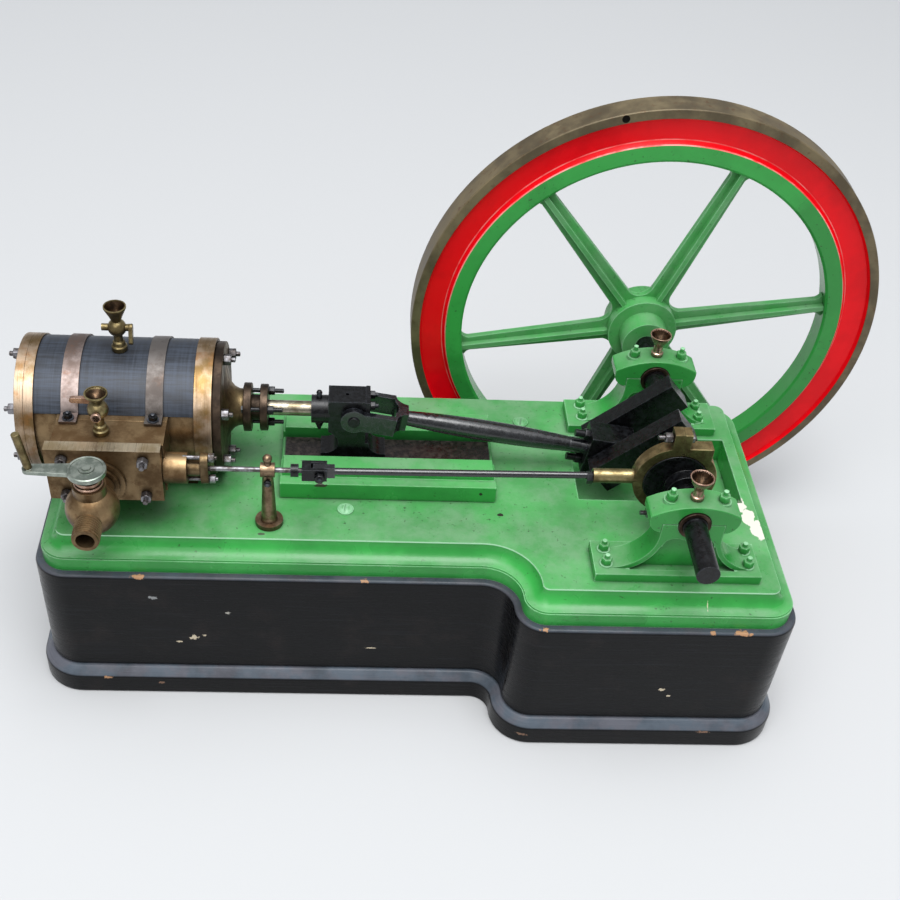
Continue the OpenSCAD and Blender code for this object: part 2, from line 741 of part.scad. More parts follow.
module eccentric_strap() color([0.50, 0.39, 0.22]) ecc_frame() difference() {
  union() {
    bar_y(2 * strap_r, -strap_w / 2, strap_w / 2);
    strap_lugs(-5.5, 0);
    bar_x(8.4, -46, -strap_r + 2);
  }
  bar_y(sheave_d + 2 * strap_room, -10, 10);
  translate([0, -20, -50]) cube([50, 40, 100]);
  bar_x(eccentric_rod_d, -50, -36);
}

module eccentric_cap() color([0.47, 0.36, 0.21]) ecc_frame() difference() {
  union() {
    bar_y(2 * strap_r, -strap_w / 2, strap_w / 2);
    strap_lugs(0, 4.5);
    translate([0, -strap_w / 2, 0]) cube([18, strap_w, strap_r - 0.4]);
  }
  bar_y(sheave_d + 2 * strap_room, -10, 10);
  translate([-50, -20, -50]) cube([50, 40, 100]);
}

module eccentric_rod() color([0.13, 0.13, 0.15]) ecc_frame() {
  bar_x(eccentric_rod_d, -ecc_rod_length + 5, -36);
  difference() {
    translate([-ecc_rod_length - 3.6, -1.9, -3.6]) cube([12, 3.8, 7.2]);
    bar_y(3 + 2 * run, -8, 8, -ecc_rod_length, 0);
  }
}

module valve_rod() color([0.60, 0.60, 0.60]) {
  xk = -knuckle_x;
  bar_x(valve_rod_d, chest_x1 - 18, xk - 9, -valve_offset, sh);
  difference() {
    translate([xk - 10, -valve_offset - 4.4, sh - 4]) cube([14, 8.8, 8]);
    translate([xk - 5, -valve_offset - 2.1, sh - 8]) cube([14, 4.2, 16]);
    }
  bar_y(3, -valve_offset - 5.2, -valve_offset + 5.2, xk, sh);
}

guide_post_x = -knuckle_x - 29;
module valve_rod_guide() color([0.48, 0.37, 0.22])
  translate([guide_post_x, -valve_offset, 0]) difference() {
    union() {
      translate([0, 0, bed_z]) cylinder(d = 16, h = 3);
      translate([0, 0, bed_z]) rotate_extrude()
        polygon([[0, 0], [5.5, 0], [4.4, 6], [2.9, sh - bed_z], [0, sh - bed_z]]);
      bar_x(8.4, -4, 4, 0, sh);
      translate([0, 0, sh]) cylinder(d = 4, h = 8);
      translate([0, 0, sh + 8]) sphere(d = 5.4);
    }
    bar_x(valve_rod_d + 2 * run, -20, 20, 0, sh);
  }

// The bearings

// outline of the bearing in X and Z about the shaft: cap and ears
module cap_outline() intersection() {
  translate([0, cap_h - arch_r]) circle(arch_r, $fn = 160);
  union() {
    translate([-cap_half, ear_r - ear_drop]) square([2 * cap_half, 30]);
    translate([ear_r - cap_half, -ear_drop]) square([2 * (cap_half - ear_r), 30]);
    for (s = [-1, 1]) translate([s * (cap_half - ear_r), ear_r - ear_drop])
      circle(ear_r);
  }
}

// the neck and the sweep to the foot; g draws its curves in
module neck_outline(g) {
  h = sh - bed_z - foot_t;
  difference() {
    translate([-neck_half - sweep_r, -h - 1]) square([2 * (neck_half + sweep_r), h + 1]);
    for (s = [-1, 1]) translate([s * (neck_half + sweep_r), sweep_r - h])
      circle(sweep_r + g);
    for (s = [-1, 1]) translate([s > 0 ? neck_half - g : -80, sweep_r - h])
      square([80 - neck_half + g, 80]);
  }
}

// arched hollow below the bush, cut in both faces
module hollow_outline() difference() {
  intersection() {
    neck_outline(hollow_rib);
    union() {
      translate([-80, -80]) square([160, 80 - hollow_top - hollow_r]);
      translate([hollow_r - hollow_half, -80])
        square([2 * (hollow_half - hollow_r), 80 - hollow_top]);
      for (s = [-1, 1]) translate([s * (hollow_half - hollow_r), -hollow_top - hollow_r])
        circle(hollow_r);
    }
  }
  circle(bush_d / 2 + hollow_rib);
}
hollow_rib = 3;
hollow_top = 10.5;
hollow_half = neck_half - hollow_rib;
hollow_r = 6;
hollow_t = 4;

module pedestal(cy) {
  y0 = cy - bearing_w / 2;
  y1 = cy + bearing_w / 2;
  difference() {
    union() {
      translate([foot_x - foot_half, cy - foot_w / 2, bed_z])
        cube([2 * foot_half, foot_w, foot_t]);
      translate([0, 0, sh]) plate_xz(y0, y1) neck_outline(0);
    }
    translate([0, 0, sh]) {
      plate_xz(y0 - 1, y0 + hollow_t) hollow_outline();
      plate_xz(y1 - hollow_t, y1 + 1) hollow_outline();
    }
    bar_y(bush_d, cy - 30, cy + 30, 0, sh);
  }
}

module bearing_cap(cy) difference() {
  translate([0, 0, sh]) plate_xz(cy - bearing_w / 2, cy + bearing_w / 2)
    difference() {
      cap_outline();
      translate([-neck_half, -20]) square([2 * neck_half, 20]);
    }
  bar_y(bush_d, cy - 30, cy + 30, 0, sh);
}

module bush(cy) difference() {
  bar_y(bush_d, cy - bearing_w / 2 - bush_out, cy + bearing_w / 2 + bush_out, 0, sh);
  bar_y(journal_d + 2 * run, cy - 30, cy + 30, 0, sh);
}

module near_pedestal() color([0.20, 0.52, 0.25]) pedestal(near_y);
module near_cap() color([0.22, 0.56, 0.27]) bearing_cap(near_y);
module near_bush() color([0.40, 0.28, 0.20]) bush(near_y);
module far_pedestal() color([0.20, 0.52, 0.25]) pedestal(far_y);
module far_cap() color([0.22, 0.56, 0.27]) bearing_cap(far_y);
module far_bush() color([0.40, 0.28, 0.20]) bush(far_y);

module bearing_oil_cup(cy) translate([0, cy, sh + cap_h + 0.05])
  rotate_extrude() polygon([
    [0, 0], [3.7, 0], [3.7, 2.2], [2.9, 2.8], [2.7, 7], [3.4, 8.5], [5.3, 11.4],
    [6.5, 14.2], [6.5, 15], [5.9, 15], [4.6, 11.8], [1.6, 9], [0, 9]]);
module near_oil_cup() color([0.50, 0.30, 0.20]) bearing_oil_cup(near_y);
module far_oil_cup() color([0.50, 0.30, 0.20]) bearing_oil_cup(far_y);

// The whole engine, or the one node asked for
base_board();
plinth_walls();
bed_plate();
slide_guide();
slideway();
cylinder_body();
lagging();
lagging_band_left();
lagging_band_right();
back_cover();
front_cover();
piston_gland();
steam_chest();
chest_cover();
valve_gland();
stop_valve_body();
stop_valve_lever();
cylinder_oil_cup();
cylinder_oil_tap();
chest_oil_cup();
chest_oil_tap();
piston_rod();
crosshead();
crosshead_pin();
connecting_rod();
big_end();
crankshaft();
flywheel();
eccentric_sheave();
eccentric_strap();
eccentric_cap();
eccentric_rod();
valve_rod();
valve_rod_guide();
near_pedestal();
near_cap();
near_bush();
near_oil_cup();
far_pedestal();
far_cap();
far_bush();
far_oil_cup();
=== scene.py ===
"""Looks of a model horizontal steam engine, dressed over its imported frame.

The engine stands on a black wooden plinth with a green bed. Sizes in this file are in
millimetres unless a name says otherwise, and places are taken from the frame's own boxes.
"""

import math

import bmesh
import bpy
from mathutils import Matrix, Vector


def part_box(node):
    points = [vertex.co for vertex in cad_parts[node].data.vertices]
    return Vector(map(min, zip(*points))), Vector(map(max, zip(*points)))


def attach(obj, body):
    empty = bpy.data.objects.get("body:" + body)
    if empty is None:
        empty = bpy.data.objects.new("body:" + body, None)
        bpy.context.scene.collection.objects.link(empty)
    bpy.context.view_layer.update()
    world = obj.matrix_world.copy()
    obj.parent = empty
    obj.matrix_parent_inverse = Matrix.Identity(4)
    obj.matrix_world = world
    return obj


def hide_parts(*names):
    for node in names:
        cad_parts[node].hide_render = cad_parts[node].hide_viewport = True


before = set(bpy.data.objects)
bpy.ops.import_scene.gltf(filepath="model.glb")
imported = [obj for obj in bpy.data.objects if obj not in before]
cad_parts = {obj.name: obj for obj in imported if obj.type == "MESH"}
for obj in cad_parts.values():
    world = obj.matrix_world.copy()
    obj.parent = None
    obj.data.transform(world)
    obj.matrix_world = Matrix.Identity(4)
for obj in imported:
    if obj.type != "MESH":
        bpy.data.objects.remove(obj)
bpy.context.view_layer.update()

bl_info = {
    "name": "Model Horizontal Steam Engine",
    "version": (1, 0, 0),
    "blender": (4, 5, 0),
    "location": "View3D > Sidebar > Steam Engine",
    "description": "Dresses a model horizontal steam engine in paint, bronze and steel",
    "category": "Object",
}

MM = 0.001


def linear(hex_colour):
    """An sRGB hex colour as the linear RGBA that shaders work in."""
    parts = [int(hex_colour[i : i + 2], 16) / 255 for i in (1, 3, 5)]
    return tuple(
        c / 12.92 if c <= 0.04045 else ((c + 0.055) / 1.055) ** 2.4 for c in parts
    ) + (1.0,)


def low(node):
    """Lowest corner of a node of the frame, in mm."""
    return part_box(node)[0] / MM


def high(node):
    """Highest corner of a node of the frame, in mm."""
    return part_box(node)[1] / MM


def middle(node):
    """Middle of a node of the frame, in mm."""
    return (low(node) + high(node)) / 2


X_AXIS, Y_AXIS, Z_AXIS = (1, 0, 0), (0, 1, 0), (0, 0, 1)

# Lengths that the frame's boxes don't give

LAGGING_T = 1.4
CHEST_BOSS_T = 4.0
WHEEL_BOSS_OUT = 15
SHAFT_END = 16
BOARD_OUT = 5.8
WALL_STEP = 35.6
CAP_ARCH_R = 48.0

# Places that the pieces share

SHAFT_Z = middle("near_bush").z
CYLINDER_X0 = low("back_cover").x
FLANGE_X0 = low("cylinder_body").x
FLANGE_X1 = high("cylinder_body").x
COVER_X = FLANGE_X1 + FLANGE_X0 - CYLINDER_X0
BARREL_R = high("lagging").y - LAGGING_T
BED_Z = high("bed_plate").z
CHEST_FACE_Y = low("chest_cover").y + CHEST_BOSS_T
VALVE_Y = middle("valve_rod").y
ECCENTRIC_X = middle("eccentric_sheave").x
RIM_R = high("flywheel").x
RIM_FACE_Y = low("flywheel").y + WHEEL_BOSS_OUT

# The crank at rest

CRANK_THROW = 40.0
CRANK_ANGLE = math.radians(40.5)
CRANK_PIN = Vector(
    (
        CRANK_THROW * -math.cos(CRANK_ANGLE),
        0,
        SHAFT_Z - CRANK_THROW * math.sin(CRANK_ANGLE),
    )
)


class EngineSizes(bpy.types.PropertyGroup):
    """Sizes that a user would change."""

    edge: bpy.props.FloatProperty(
        name="Edge rounding",
        description="Radius that paint and wear leave on an edge",
        default=0.00045,
        subtype="DISTANCE",
    )
    cover_nut: bpy.props.FloatProperty(
        name="Cover nuts",
        description="Width across the flats of the nuts on the cylinder and the chest",
        default=0.0058,
        subtype="DISTANCE",
    )
    foot_nut: bpy.props.FloatProperty(
        name="Foot nuts",
        description="Width across the flats of the nuts on the bearings",
        default=0.0056,
        subtype="DISTANCE",
    )
    thread_pitch: bpy.props.FloatProperty(
        name="Inlet thread",
        description="Pitch of the thread on the steam inlet's stub",
        default=0.0016,
        subtype="DISTANCE",
    )
    dirt: bpy.props.FloatProperty(
        name="Oil and dirt",
        description="How much oil and dirt lies on the green paint",
        default=0.5,
        min=0.0,
        max=1.0,
        subtype="FACTOR",
    )


class EngineColours(bpy.types.PropertyGroup):
    """Colours of the engine's paints."""

    green: bpy.props.FloatVectorProperty(
        name="Green enamel",
        description="Paint of the bed, bearings and spokes",
        default=linear("#38A047")[:3],
        subtype="COLOR",
        size=3,
        min=0,
        max=1,
    )
    red: bpy.props.FloatVectorProperty(
        name="Red enamel",
        description="Paint of the flywheel's sunk panels",
        default=linear("#EE0918")[:3],
        subtype="COLOR",
        size=3,
        min=0,
        max=1,
    )
    black: bpy.props.FloatVectorProperty(
        name="Black paint",
        description="Paint of the wooden plinth",
        default=linear("#09090B")[:3],
        subtype="COLOR",
        size=3,
        min=0,
        max=1,
    )


def sizes():
    return bpy.context.scene.engine_sizes


def colour(name, thinned=1.0):
    """A paint's colour, darker by thinned where the brush left it thin."""
    paint = getattr(bpy.context.scene.engine_colours, name)
    return tuple(c * thinned for c in paint) + (1.0,)


# Nodes

SMOOTH = {"interpolation_type": "SMOOTHSTEP"}
COLOURS = {"data_type": "RGBA"}
TIMES = {"operation": "MULTIPLY"}
PLUS = {"operation": "ADD"}


def add(tree, kind, *inputs, out=None, **named):
    """Adds a shader node with its settings and links, and returns one of its outputs.

    inputs fill its sockets in order, passing over those that its settings switch off. A
    named value is the input of that name if it starts with a capital, and otherwise a
    setting. An input is a value, or a socket to link.

    So a noise texture is given its place, scale, detail and roughness, a map range its
    value, where that starts and ends and what it then gives, and a mix its amount and both
    colours.
    """
    made = tree.nodes.new("ShaderNode" + kind)
    for key, value in named.items():
        if key[0].islower():
            setattr(made, key, value)
    given = list(zip([socket for socket in made.inputs if socket.enabled], inputs))
    given += [(made.inputs[key], value) for key, value in named.items() if key[0].isupper()]
    for socket, value in given:
        if isinstance(value, bpy.types.NodeSocket):
            tree.links.new(value, socket)
        else:
            socket.default_value = value
    return made.outputs[out] if out else next(s for s in made.outputs if s.enabled)


def per(size_mm):
    """Scale of a pattern whose features are size_mm across."""
    return 1 / (size_mm * MM)


def blank(name, **surface):
    """A new material with its tree, its main shader and its place coordinates."""
    made = bpy.data.materials.new(name)
    made.use_nodes = True
    tree = made.node_tree
    shader = tree.nodes["Principled BSDF"]
    for key, value in surface.items():
        shader.inputs[key.replace("_", " ")].default_value = value
    return made, tree, shader, add(tree, "TexCoord", out="Object")


def layered(tree, base, *coats):
    """base with the colour of each coat over it where that coat's mask is 1.

    A colour is a hex value, linear RGBA or a socket.
    """
    laid = linear(base) if isinstance(base, str) else base
    for mask, tone in coats:
        tone = linear(tone) if isinstance(tone, str) else tone
        laid = add(tree, "Mix", mask, laid, tone, **COLOURS)
    return laid


def surfaced(tree, shader, paint, grain, depth_mm, strength, rough=None):
    """Gives shader its colour, its roughness and a surface raised up to depth_mm by grain."""
    raised = add(tree, "Bump", Height=grain, Distance=depth_mm * MM, Strength=strength)
    tree.links.new(paint, shader.inputs["Base Color"])
    tree.links.new(raised, shader.inputs["Normal"])
    if rough:
        tree.links.new(rough, shader.inputs["Roughness"])


# Masks that the finishes share, each a socket from 0 to 1

def corner_shade(tree, reach_mm, amount):
    """amount in corners closer than reach_mm, 0 on open faces: the dark colour laid there is
    painted shade.
    """
    shade = add(tree, "AmbientOcclusion", out="AO", Distance=reach_mm * MM, samples=6)
    return add(tree, "MapRange", shade, 0.85, 0.35, 0.0, amount, **SMOOTH)


def worn_and_lit_edge(tree, reach_mm):
    """1 on outer edges within reach_mm, 0 elsewhere. The pale colours laid there are wear,
    and on the green paint, the black paint and the black steel also painted highlight.
    """
    shade = add(
        tree,
        "AmbientOcclusion",
        out="AO",
        Distance=reach_mm * MM,
        samples=6,
        inside=True,
        only_local=True,
    )
    return add(tree, "MapRange", shade, 0.72, 0.40, **SMOOTH)


def facing_up(tree, start=0.75, full=0.98, amount=1.0):
    """amount on faces that lie flat, 0 on standing ones."""
    normal = add(tree, "NewGeometry", out="Normal")
    up = add(tree, "SeparateXYZ", normal, out="Z")
    return add(tree, "MapRange", up, start, full, 0.0, amount, **SMOOTH)


def shade_below(tree, amount):
    """amount on faces that look down, 0 on those that look up: the dark colour laid there is
    painted shade.
    """
    return facing_up(tree, 0.45, -0.25, amount)


def spot(tree, place, centre, reach, ragged=0.5):
    """1 inside a ragged spot about centre, with reach along each axis, all in mm."""
    shifted = add(
        tree,
        "Mapping",
        Vector=place,
        Location=[c * MM for c in centre],
        Scale=[r * MM for r in reach],
        vector_type="TEXTURE",
    )
    far = add(tree, "VectorMath", shifted, operation="LENGTH")
    rough = add(tree, "TexNoise", place, per(min(reach) * 1.6), 3, 0.6)
    rough = add(tree, "MapRange", rough, 0.3, 0.7, -ragged, ragged, **SMOOTH)
    far = add(tree, "Math", far, rough, **PLUS)
    return add(tree, "MapRange", far, 1.05, 0.95, **SMOOTH)


def from_shaft(tree, place):
    """Distance in mm from the crankshaft's axis."""
    scale = (1 / MM, 0, 1 / MM)
    flat = add(tree, "Mapping", Vector=place, Location=(0, 0, -SHAFT_Z), Scale=scale)
    return add(tree, "VectorMath", flat, operation="LENGTH")


def turning_marks(tree, place, pitch_mm):
    """Marks that a lathe leaves round an X axis: fine along X, long across it.

    Real ones are a tenth of a millimetre apart. They are drawn coarser, so that they show.
    """
    drawn = add(tree, "Mapping", Vector=place, Scale=(per(pitch_mm), per(40), per(40)))
    return add(tree, "TexNoise", drawn, 1.0, 4, 0.7)


# Finishes, one function for each kind

def green_enamel(name="green_brushed_enamel", flaked=(), settled=0.0, arris=None):
    """Brushed gloss enamel on cast iron: bright, slightly wavy, with oil and dust on it.

    flaked lists centre, reach and hex colour of spots where the paint has come off, settled
    is the dust on standing faces, and arris the height in mm of an edge given a pale line of
    painted highlight.
    """
    made, tree, shader, place = blank(
        name, Roughness=0.3, IOR=1.5, Specular_IOR_Level=0.36
    )
    cloud = add(tree, "TexNoise", place, per(55), 4, 0.6)
    thick = add(tree, "MapRange", cloud, 0.4, 0.65, **SMOOTH)

    # a film of dried oil and dust, mostly on flat faces
    dust = add(tree, "TexNoise", place, per(24), 6, 0.7)
    film = facing_up(tree)
    if settled:
        film = add(tree, "Math", film, settled, operation="MAXIMUM")
    cover = add(tree, "MapRange", dust, 0.35, 0.68, 0.35, 1.0, **SMOOTH)
    film = add(tree, "Math", film, cover, **TIMES)
    film = add(tree, "Math", film, sizes().dirt, **TIMES)

    # dark specks, in crowds
    speck = add(tree, "TexNoise", place, per(2.2), 3, 0.6)
    speck = add(tree, "MapRange", speck, 0.64, 0.7, **SMOOTH)
    crowd = add(tree, "TexNoise", place, per(30), 3, 0.6)
    crowd = add(tree, "MapRange", crowd, 0.38, 0.55, **SMOOTH)
    speck = add(tree, "Math", speck, crowd, **TIMES)
    speck = add(tree, "Math", speck, 0.7, **TIMES)

    # dirt and painted shade in corners, and pale edges of worn paint and painted highlight
    dirt_and_corner_shade = add(tree, "MapRange", dust, 0.3, 0.6, 0.4, 1.0, **SMOOTH)
    corner = corner_shade(tree, 4.5, 0.15 if settled else 0.65)
    dirt_and_corner_shade = add(tree, "Math", corner, dirt_and_corner_shade, **TIMES)
    rubbed = add(tree, "MapRange", cloud, 0.3, 0.6, 0.2, 0.75, **SMOOTH)
    rubbed = add(tree, "Math", worn_and_lit_edge(tree, 1.4), rubbed, **TIMES)

    coats = [
        (thick, colour("green")),
        (film, "#87A288"),
        (speck, "#2A3524"),
        (dirt_and_corner_shade, "#25402A"),
        (rubbed, "#A6DBB0"),
    ]
    # a pale line of painted highlight just below the arris, on standing faces
    if arris:
        height = add(tree, "SeparateXYZ", place, out="Z")
        start, full = (arris - 0.9) * MM, (arris - 0.7) * MM
        line = add(tree, "MapRange", height, start, full, **SMOOTH)
        flat = facing_up(tree, 0.86, 0.97)
        standing = add(tree, "Math", 1.0, flat, operation="SUBTRACT")
        line = add(tree, "Math", line, standing, **TIMES)
        coats.append((add(tree, "Math", line, 0.75, **TIMES), "#C4F0CE"))
    for centre, reach_mm, tone in flaked:
        coats.append((spot(tree, place, centre, reach_mm, 0.22), tone))
    paint = layered(tree, colour("green", 0.72), *coats)

    dull = add(tree, "MapRange", cloud, 0.3, 0.75, 0.2, 0.34, **SMOOTH)
    dull = add(tree, "Math", dull, add(tree, "Math", film, 0.3, **TIMES), **PLUS)
    wave = add(tree, "TexNoise", place, per(6), 3, 0.6)
    brush = add(tree, "TexNoise", place, per(1.1), 2, 0.6)
    wave = add(tree, "Math", wave, add(tree, "Math", brush, 0.12, **TIMES), **PLUS)
    surfaced(tree, shader, paint, wave, 0.2, 0.6, dull)
    return made


def red_enamel():
    """Brushed gloss enamel: full red, a little darker where the brush left it thin.

    Along the panel's two edges pale lines are painted: highlights where the edges catch the
    light, broken up like worn paint.
    """
    made, tree, shader, place = blank(
        "red_brushed_enamel", Roughness=0.26, IOR=1.5, Specular_IOR_Level=0.2
    )
    cloud = add(tree, "TexNoise", place, per(26), 4, 0.6)
    thick = add(tree, "MapRange", cloud, 0.35, 0.6, **SMOOTH)
    coats = [(thick, colour("red"))]
    # pale lines along the panel's two edges: painted highlight, broken up like worn paint
    out = from_shaft(tree, place)
    gaps = add(tree, "TexNoise", place, per(16), 4, 0.6)
    half_width = 0.3
    for inwards, amount in ((20, 0.35), (22.2, 0.65)):
        line = add(tree, "Math", out, RIM_R - inwards, half_width, operation="COMPARE")
        kept = add(tree, "MapRange", gaps, 0.35, 0.6, 0.2 * amount, amount, **SMOOTH)
        coats.append((add(tree, "Math", line, kept, **TIMES), "#EFC0B8"))
    # dark red in corners: painted shade
    coats.append((corner_shade(tree, 3, 0.4), "#5A0A0C"))
    paint = layered(tree, colour("red", 0.88), *coats)
    wave = add(tree, "TexNoise", place, per(6), 3, 0.6)
    surfaced(tree, shader, paint, wave, 0.1, 0.4)
    return made


def turned_iron():
    """Turned cast iron gone olive brown under old oil: dull metal with a fine grain."""
    made, tree, shader, place = blank("browned_turned_iron", Metallic=0.4, Roughness=0.5)
    tone = add(tree, "TexNoise", place, per(26), 6, 0.65)
    rust = add(tree, "TexNoise", place, per(5), 5, 0.7)
    paint = layered(
        tree,
        "#554A36",
        (add(tree, "MapRange", tone, 0.35, 0.65, **SMOOTH), "#7A6D52"),
        (add(tree, "MapRange", rust, 0.56, 0.72, **SMOOTH), "#5A4028"),
    )
    rough = add(tree, "MapRange", tone, 0.3, 0.7, 0.38, 0.6, **SMOOTH)
    grain = add(tree, "TexNoise", place, per(1.2), 3, 0.6)
    surfaced(tree, shader, paint, grain, 0.08, 0.5, rough)
    return made


def plinth_paint(name="black_gloss_on_wood", chips=(), rubbed=0.8):
    """Black gloss brushed on wood: deep black, with grey-blue on the rims and edges, painted
    sheen and highlight over worn paint, and chips.

    chips lists centre, reach and hex colour of spots where the paint is off, and the last
    argument is how grey the flat rims are: painted sheen over worn paint.
    """
    made, tree, shader, place = blank(
        name, Roughness=0.3, IOR=1.5, Specular_IOR_Level=0.18
    )
    along = (per(45), per(45), per(1.5))
    drawn = add(tree, "Mapping", Vector=place, Scale=along)
    marks = add(tree, "TexNoise", drawn, 1.0, 5, 0.7)
    cloud = add(tree, "TexNoise", place, per(30), 5, 0.65)

    # the flat rims grey, bluer in some places: painted sheen on faces that look up, over worn
    # paint
    rim = add(tree, "MapRange", cloud, 0.25, 0.6, 0.55, 1.0, **SMOOTH)
    rim = add(tree, "Math", facing_up(tree, 0.3, 0.75), rim, **TIMES)
    blue = add(tree, "TexNoise", place, per(14), 5, 0.6)
    blue = add(tree, "MapRange", blue, 0.4, 0.6, **SMOOTH)
    sheen_and_wear_tone = layered(tree, "#636D78", (blue, "#6D6F78"))

    # grey-blue edges of painted highlight over worn paint, and bare wood where they took
    # knocks
    edge = add(tree, "MapRange", cloud, 0.35, 0.6, **SMOOTH)
    edge = add(tree, "Math", worn_and_lit_edge(tree, 1.8), edge, **TIMES)
    knock = add(tree, "TexNoise", place, per(3.0), 4, 0.6)
    knock = add(tree, "MapRange", knock, 0.67, 0.69, **SMOOTH)
    knock = add(tree, "Math", worn_and_lit_edge(tree, 2.5), knock, **TIMES)

    coats = [
        (add(tree, "MapRange", marks, 0.5, 0.75, 0.0, 0.16, **SMOOTH), "#3C4048"),
        (add(tree, "MapRange", cloud, 0.5, 0.75, 0.0, 0.3, **SMOOTH), "#2E2624"),
        (add(tree, "Math", rim, rubbed, **TIMES), sheen_and_wear_tone),
        (add(tree, "Math", edge, 0.6, **TIMES), "#6C757E"),
        (knock, "#9C7254"),
    ]
    for centre, reach_mm, tone in chips:
        coats.append((spot(tree, place, centre, reach_mm), tone))
    paint = layered(tree, colour("black"), *coats)
    rough = add(tree, "MapRange", marks, 0.35, 0.7, 0.2, 0.4, **SMOOTH)
    surfaced(tree, shader, paint, marks, 0.1, 0.5, rough)
    return made


def turned_bronze(name="turned_bronze", bright="#BBA48C", dark="#80663F", stain="#A0703F"):
    """Satin turned bronze: fine turning marks round it, gone golden brown in clouds."""
    made, tree, shader, place = blank(name, Metallic=0.9, Roughness=0.34)
    tone = add(tree, "TexNoise", place, per(20), 5, 0.6)
    cloud = add(tree, "TexNoise", place, per(13), 5, 0.6)
    marks = turning_marks(tree, place, 0.9)
    paint = layered(
        tree,
        dark,
        (add(tree, "MapRange", tone, 0.38, 0.62, **SMOOTH), bright),
        (add(tree, "MapRange", cloud, 0.52, 0.7, 0, 0.7, **SMOOTH), stain),
        (add(tree, "MapRange", marks, 0.5, 0.7, 0, 0.35, **SMOOTH), "#5A4532"),
        # dark in corners and on faces that look down: painted shade
        (corner_shade(tree, 4, 0.8), "#1E1811"),
        (shade_below(tree, 0.6), "#2A2015"),
    )
    rough = add(tree, "MapRange", marks, 0.3, 0.7, 0.26, 0.42, **SMOOTH)
    surfaced(tree, shader, paint, marks, 0.03, 0.5, rough)
    return made


def gunmetal(name, bright, dark, stain, rough=0.38, tone_mm=14):
    """Cast and turned gunmetal with years of oil on it: golden brown with darker clouds, and
    painted shade in corners and on faces that look down.
    """
    made, tree, shader, place = blank(name, Metallic=0.9, Roughness=rough)
    tone = add(tree, "TexNoise", place, per(tone_mm), 6, 0.65)
    patch = add(tree, "TexNoise", place, per(tone_mm * 0.45), 5, 0.7)
    patch = add(tree, "MapRange", patch, 0.55, 0.72, **SMOOTH)
    paint = layered(
        tree,
        dark,
        (add(tree, "MapRange", tone, 0.36, 0.62, **SMOOTH), bright),
        (add(tree, "Math", patch, 0.6, **TIMES), stain),
        # dark in corners and on faces that look down: painted shade
        (corner_shade(tree, 5, 0.8), "#1E1811"),
        (shade_below(tree, 0.6), "#2A2015"),
    )
    dull = add(tree, "MapRange", tone, 0.3, 0.7, rough + 0.14, rough - 0.06, **SMOOTH)
    grain = add(tree, "TexNoise", place, per(0.9), 3, 0.6)
    surfaced(tree, shader, paint, grain, 0.05, 0.5, dull)
    return made


def lagging_steel():
    """Blued sheet steel: blue-grey with faint streaks along and around it."""
    made, tree, shader, place = blank("blued_sheet_steel", Metallic=0.35, Roughness=0.42)
    drawn = add(tree, "Mapping", Vector=place, Scale=(per(30), per(1.4), per(1.4)))
    streak = add(tree, "TexNoise", drawn, 1.0, 4, 0.7)
    around = add(tree, "Math", turning_marks(tree, place, 1.2), 0.6, **TIMES)
    streak = add(tree, "Math", streak, around, **PLUS)
    cloud = add(tree, "TexNoise", place, per(24), 5, 0.6)
    paint = layered(
        tree,
        "#272B32",
        (add(tree, "MapRange", streak, 0.6, 1.0, **SMOOTH), "#3F4652"),
        (add(tree, "MapRange", cloud, 0.48, 0.75, 0, 0.5, **SMOOTH), "#2C2A28"),
        # dark in corners: painted shade
        (corner_shade(tree, 3, 0.8), "#15161A"),
    )
    rough = add(tree, "MapRange", streak, 0.5, 1.1, 0.36, 0.52, **SMOOTH)
    surfaced(tree, shader, paint, streak, 0.05, 0.4, rough)
    return made


def black_steel(
    name="blackened_steel", base="#0B0B0D", light="#1C1E22", rough=0.3, metallic=0.35
):
    """Blackened, oily steel: near black with a cool sheen, and grey-blue outer edges of
    painted highlight over light wear.

    With no metal in it, it is a thick film of oil, which shines more.
    """
    shine = 0.5 if metallic else 0.85
    made, tree, shader, place = blank(
        name, Metallic=metallic, Roughness=rough, Specular_IOR_Level=shine
    )
    tone = add(tree, "TexNoise", place, per(3.2), 5, 0.7)
    rubbed = add(tree, "MapRange", tone, 0.35, 0.6, 0.15, 0.7, **SMOOTH)
    paint = layered(
        tree,
        base,
        (add(tree, "MapRange", tone, 0.45, 0.7, **SMOOTH), light),
        # grey-blue outer edges: painted highlight over light wear
        (add(tree, "Math", worn_and_lit_edge(tree, 1.0), rubbed, **TIMES), "#565A63"),
    )
    dull = add(tree, "MapRange", tone, 0.3, 0.7, rough - 0.08, rough + 0.12, **SMOOTH)
    surfaced(tree, shader, paint, tone, 0.06, 0.5, dull)
    return made


def dull_steel(name, bright, dark, rough=0.4):
    """Plain steel dulled by oil: grey metal with painted shade, dark brown, in its hollows.
    """
    made, tree, shader, place = blank(name, Metallic=0.85, Roughness=rough)
    tone = add(tree, "TexNoise", place, per(6), 5, 0.65)
    paint = layered(
        tree,
        dark,
        (add(tree, "MapRange", tone, 0.38, 0.62, **SMOOTH), bright),
        # dark brown in hollows: painted shade
        (corner_shade(tree, 2.5, 0.8), "#1C1712"),
    )
    grain = add(tree, "TexNoise", place, per(0.7), 2, 0.6)
    surfaced(tree, shader, paint, grain, 0.03, 0.4)
    return made


def painted_hole_shade():
    """Painted shade for a hole: a nearly black disc with no shine."""
    # the hole's dark is painted shade
    dirt = linear("#14110E")
    return blank(
        "oily_dirt_in_hole", Base_Color=dirt, Roughness=0.9, Specular_IOR_Level=0.05
    )[0]


_made = {}


def material(maker, *args):
    """The material that maker gives, made once."""
    key = (maker.__name__, *args)
    if key not in _made:
        _made[key] = maker(*args)
    return _made[key]


# Bronzes: bright, dark and stained tones, then roughness and the size of clouds in mm

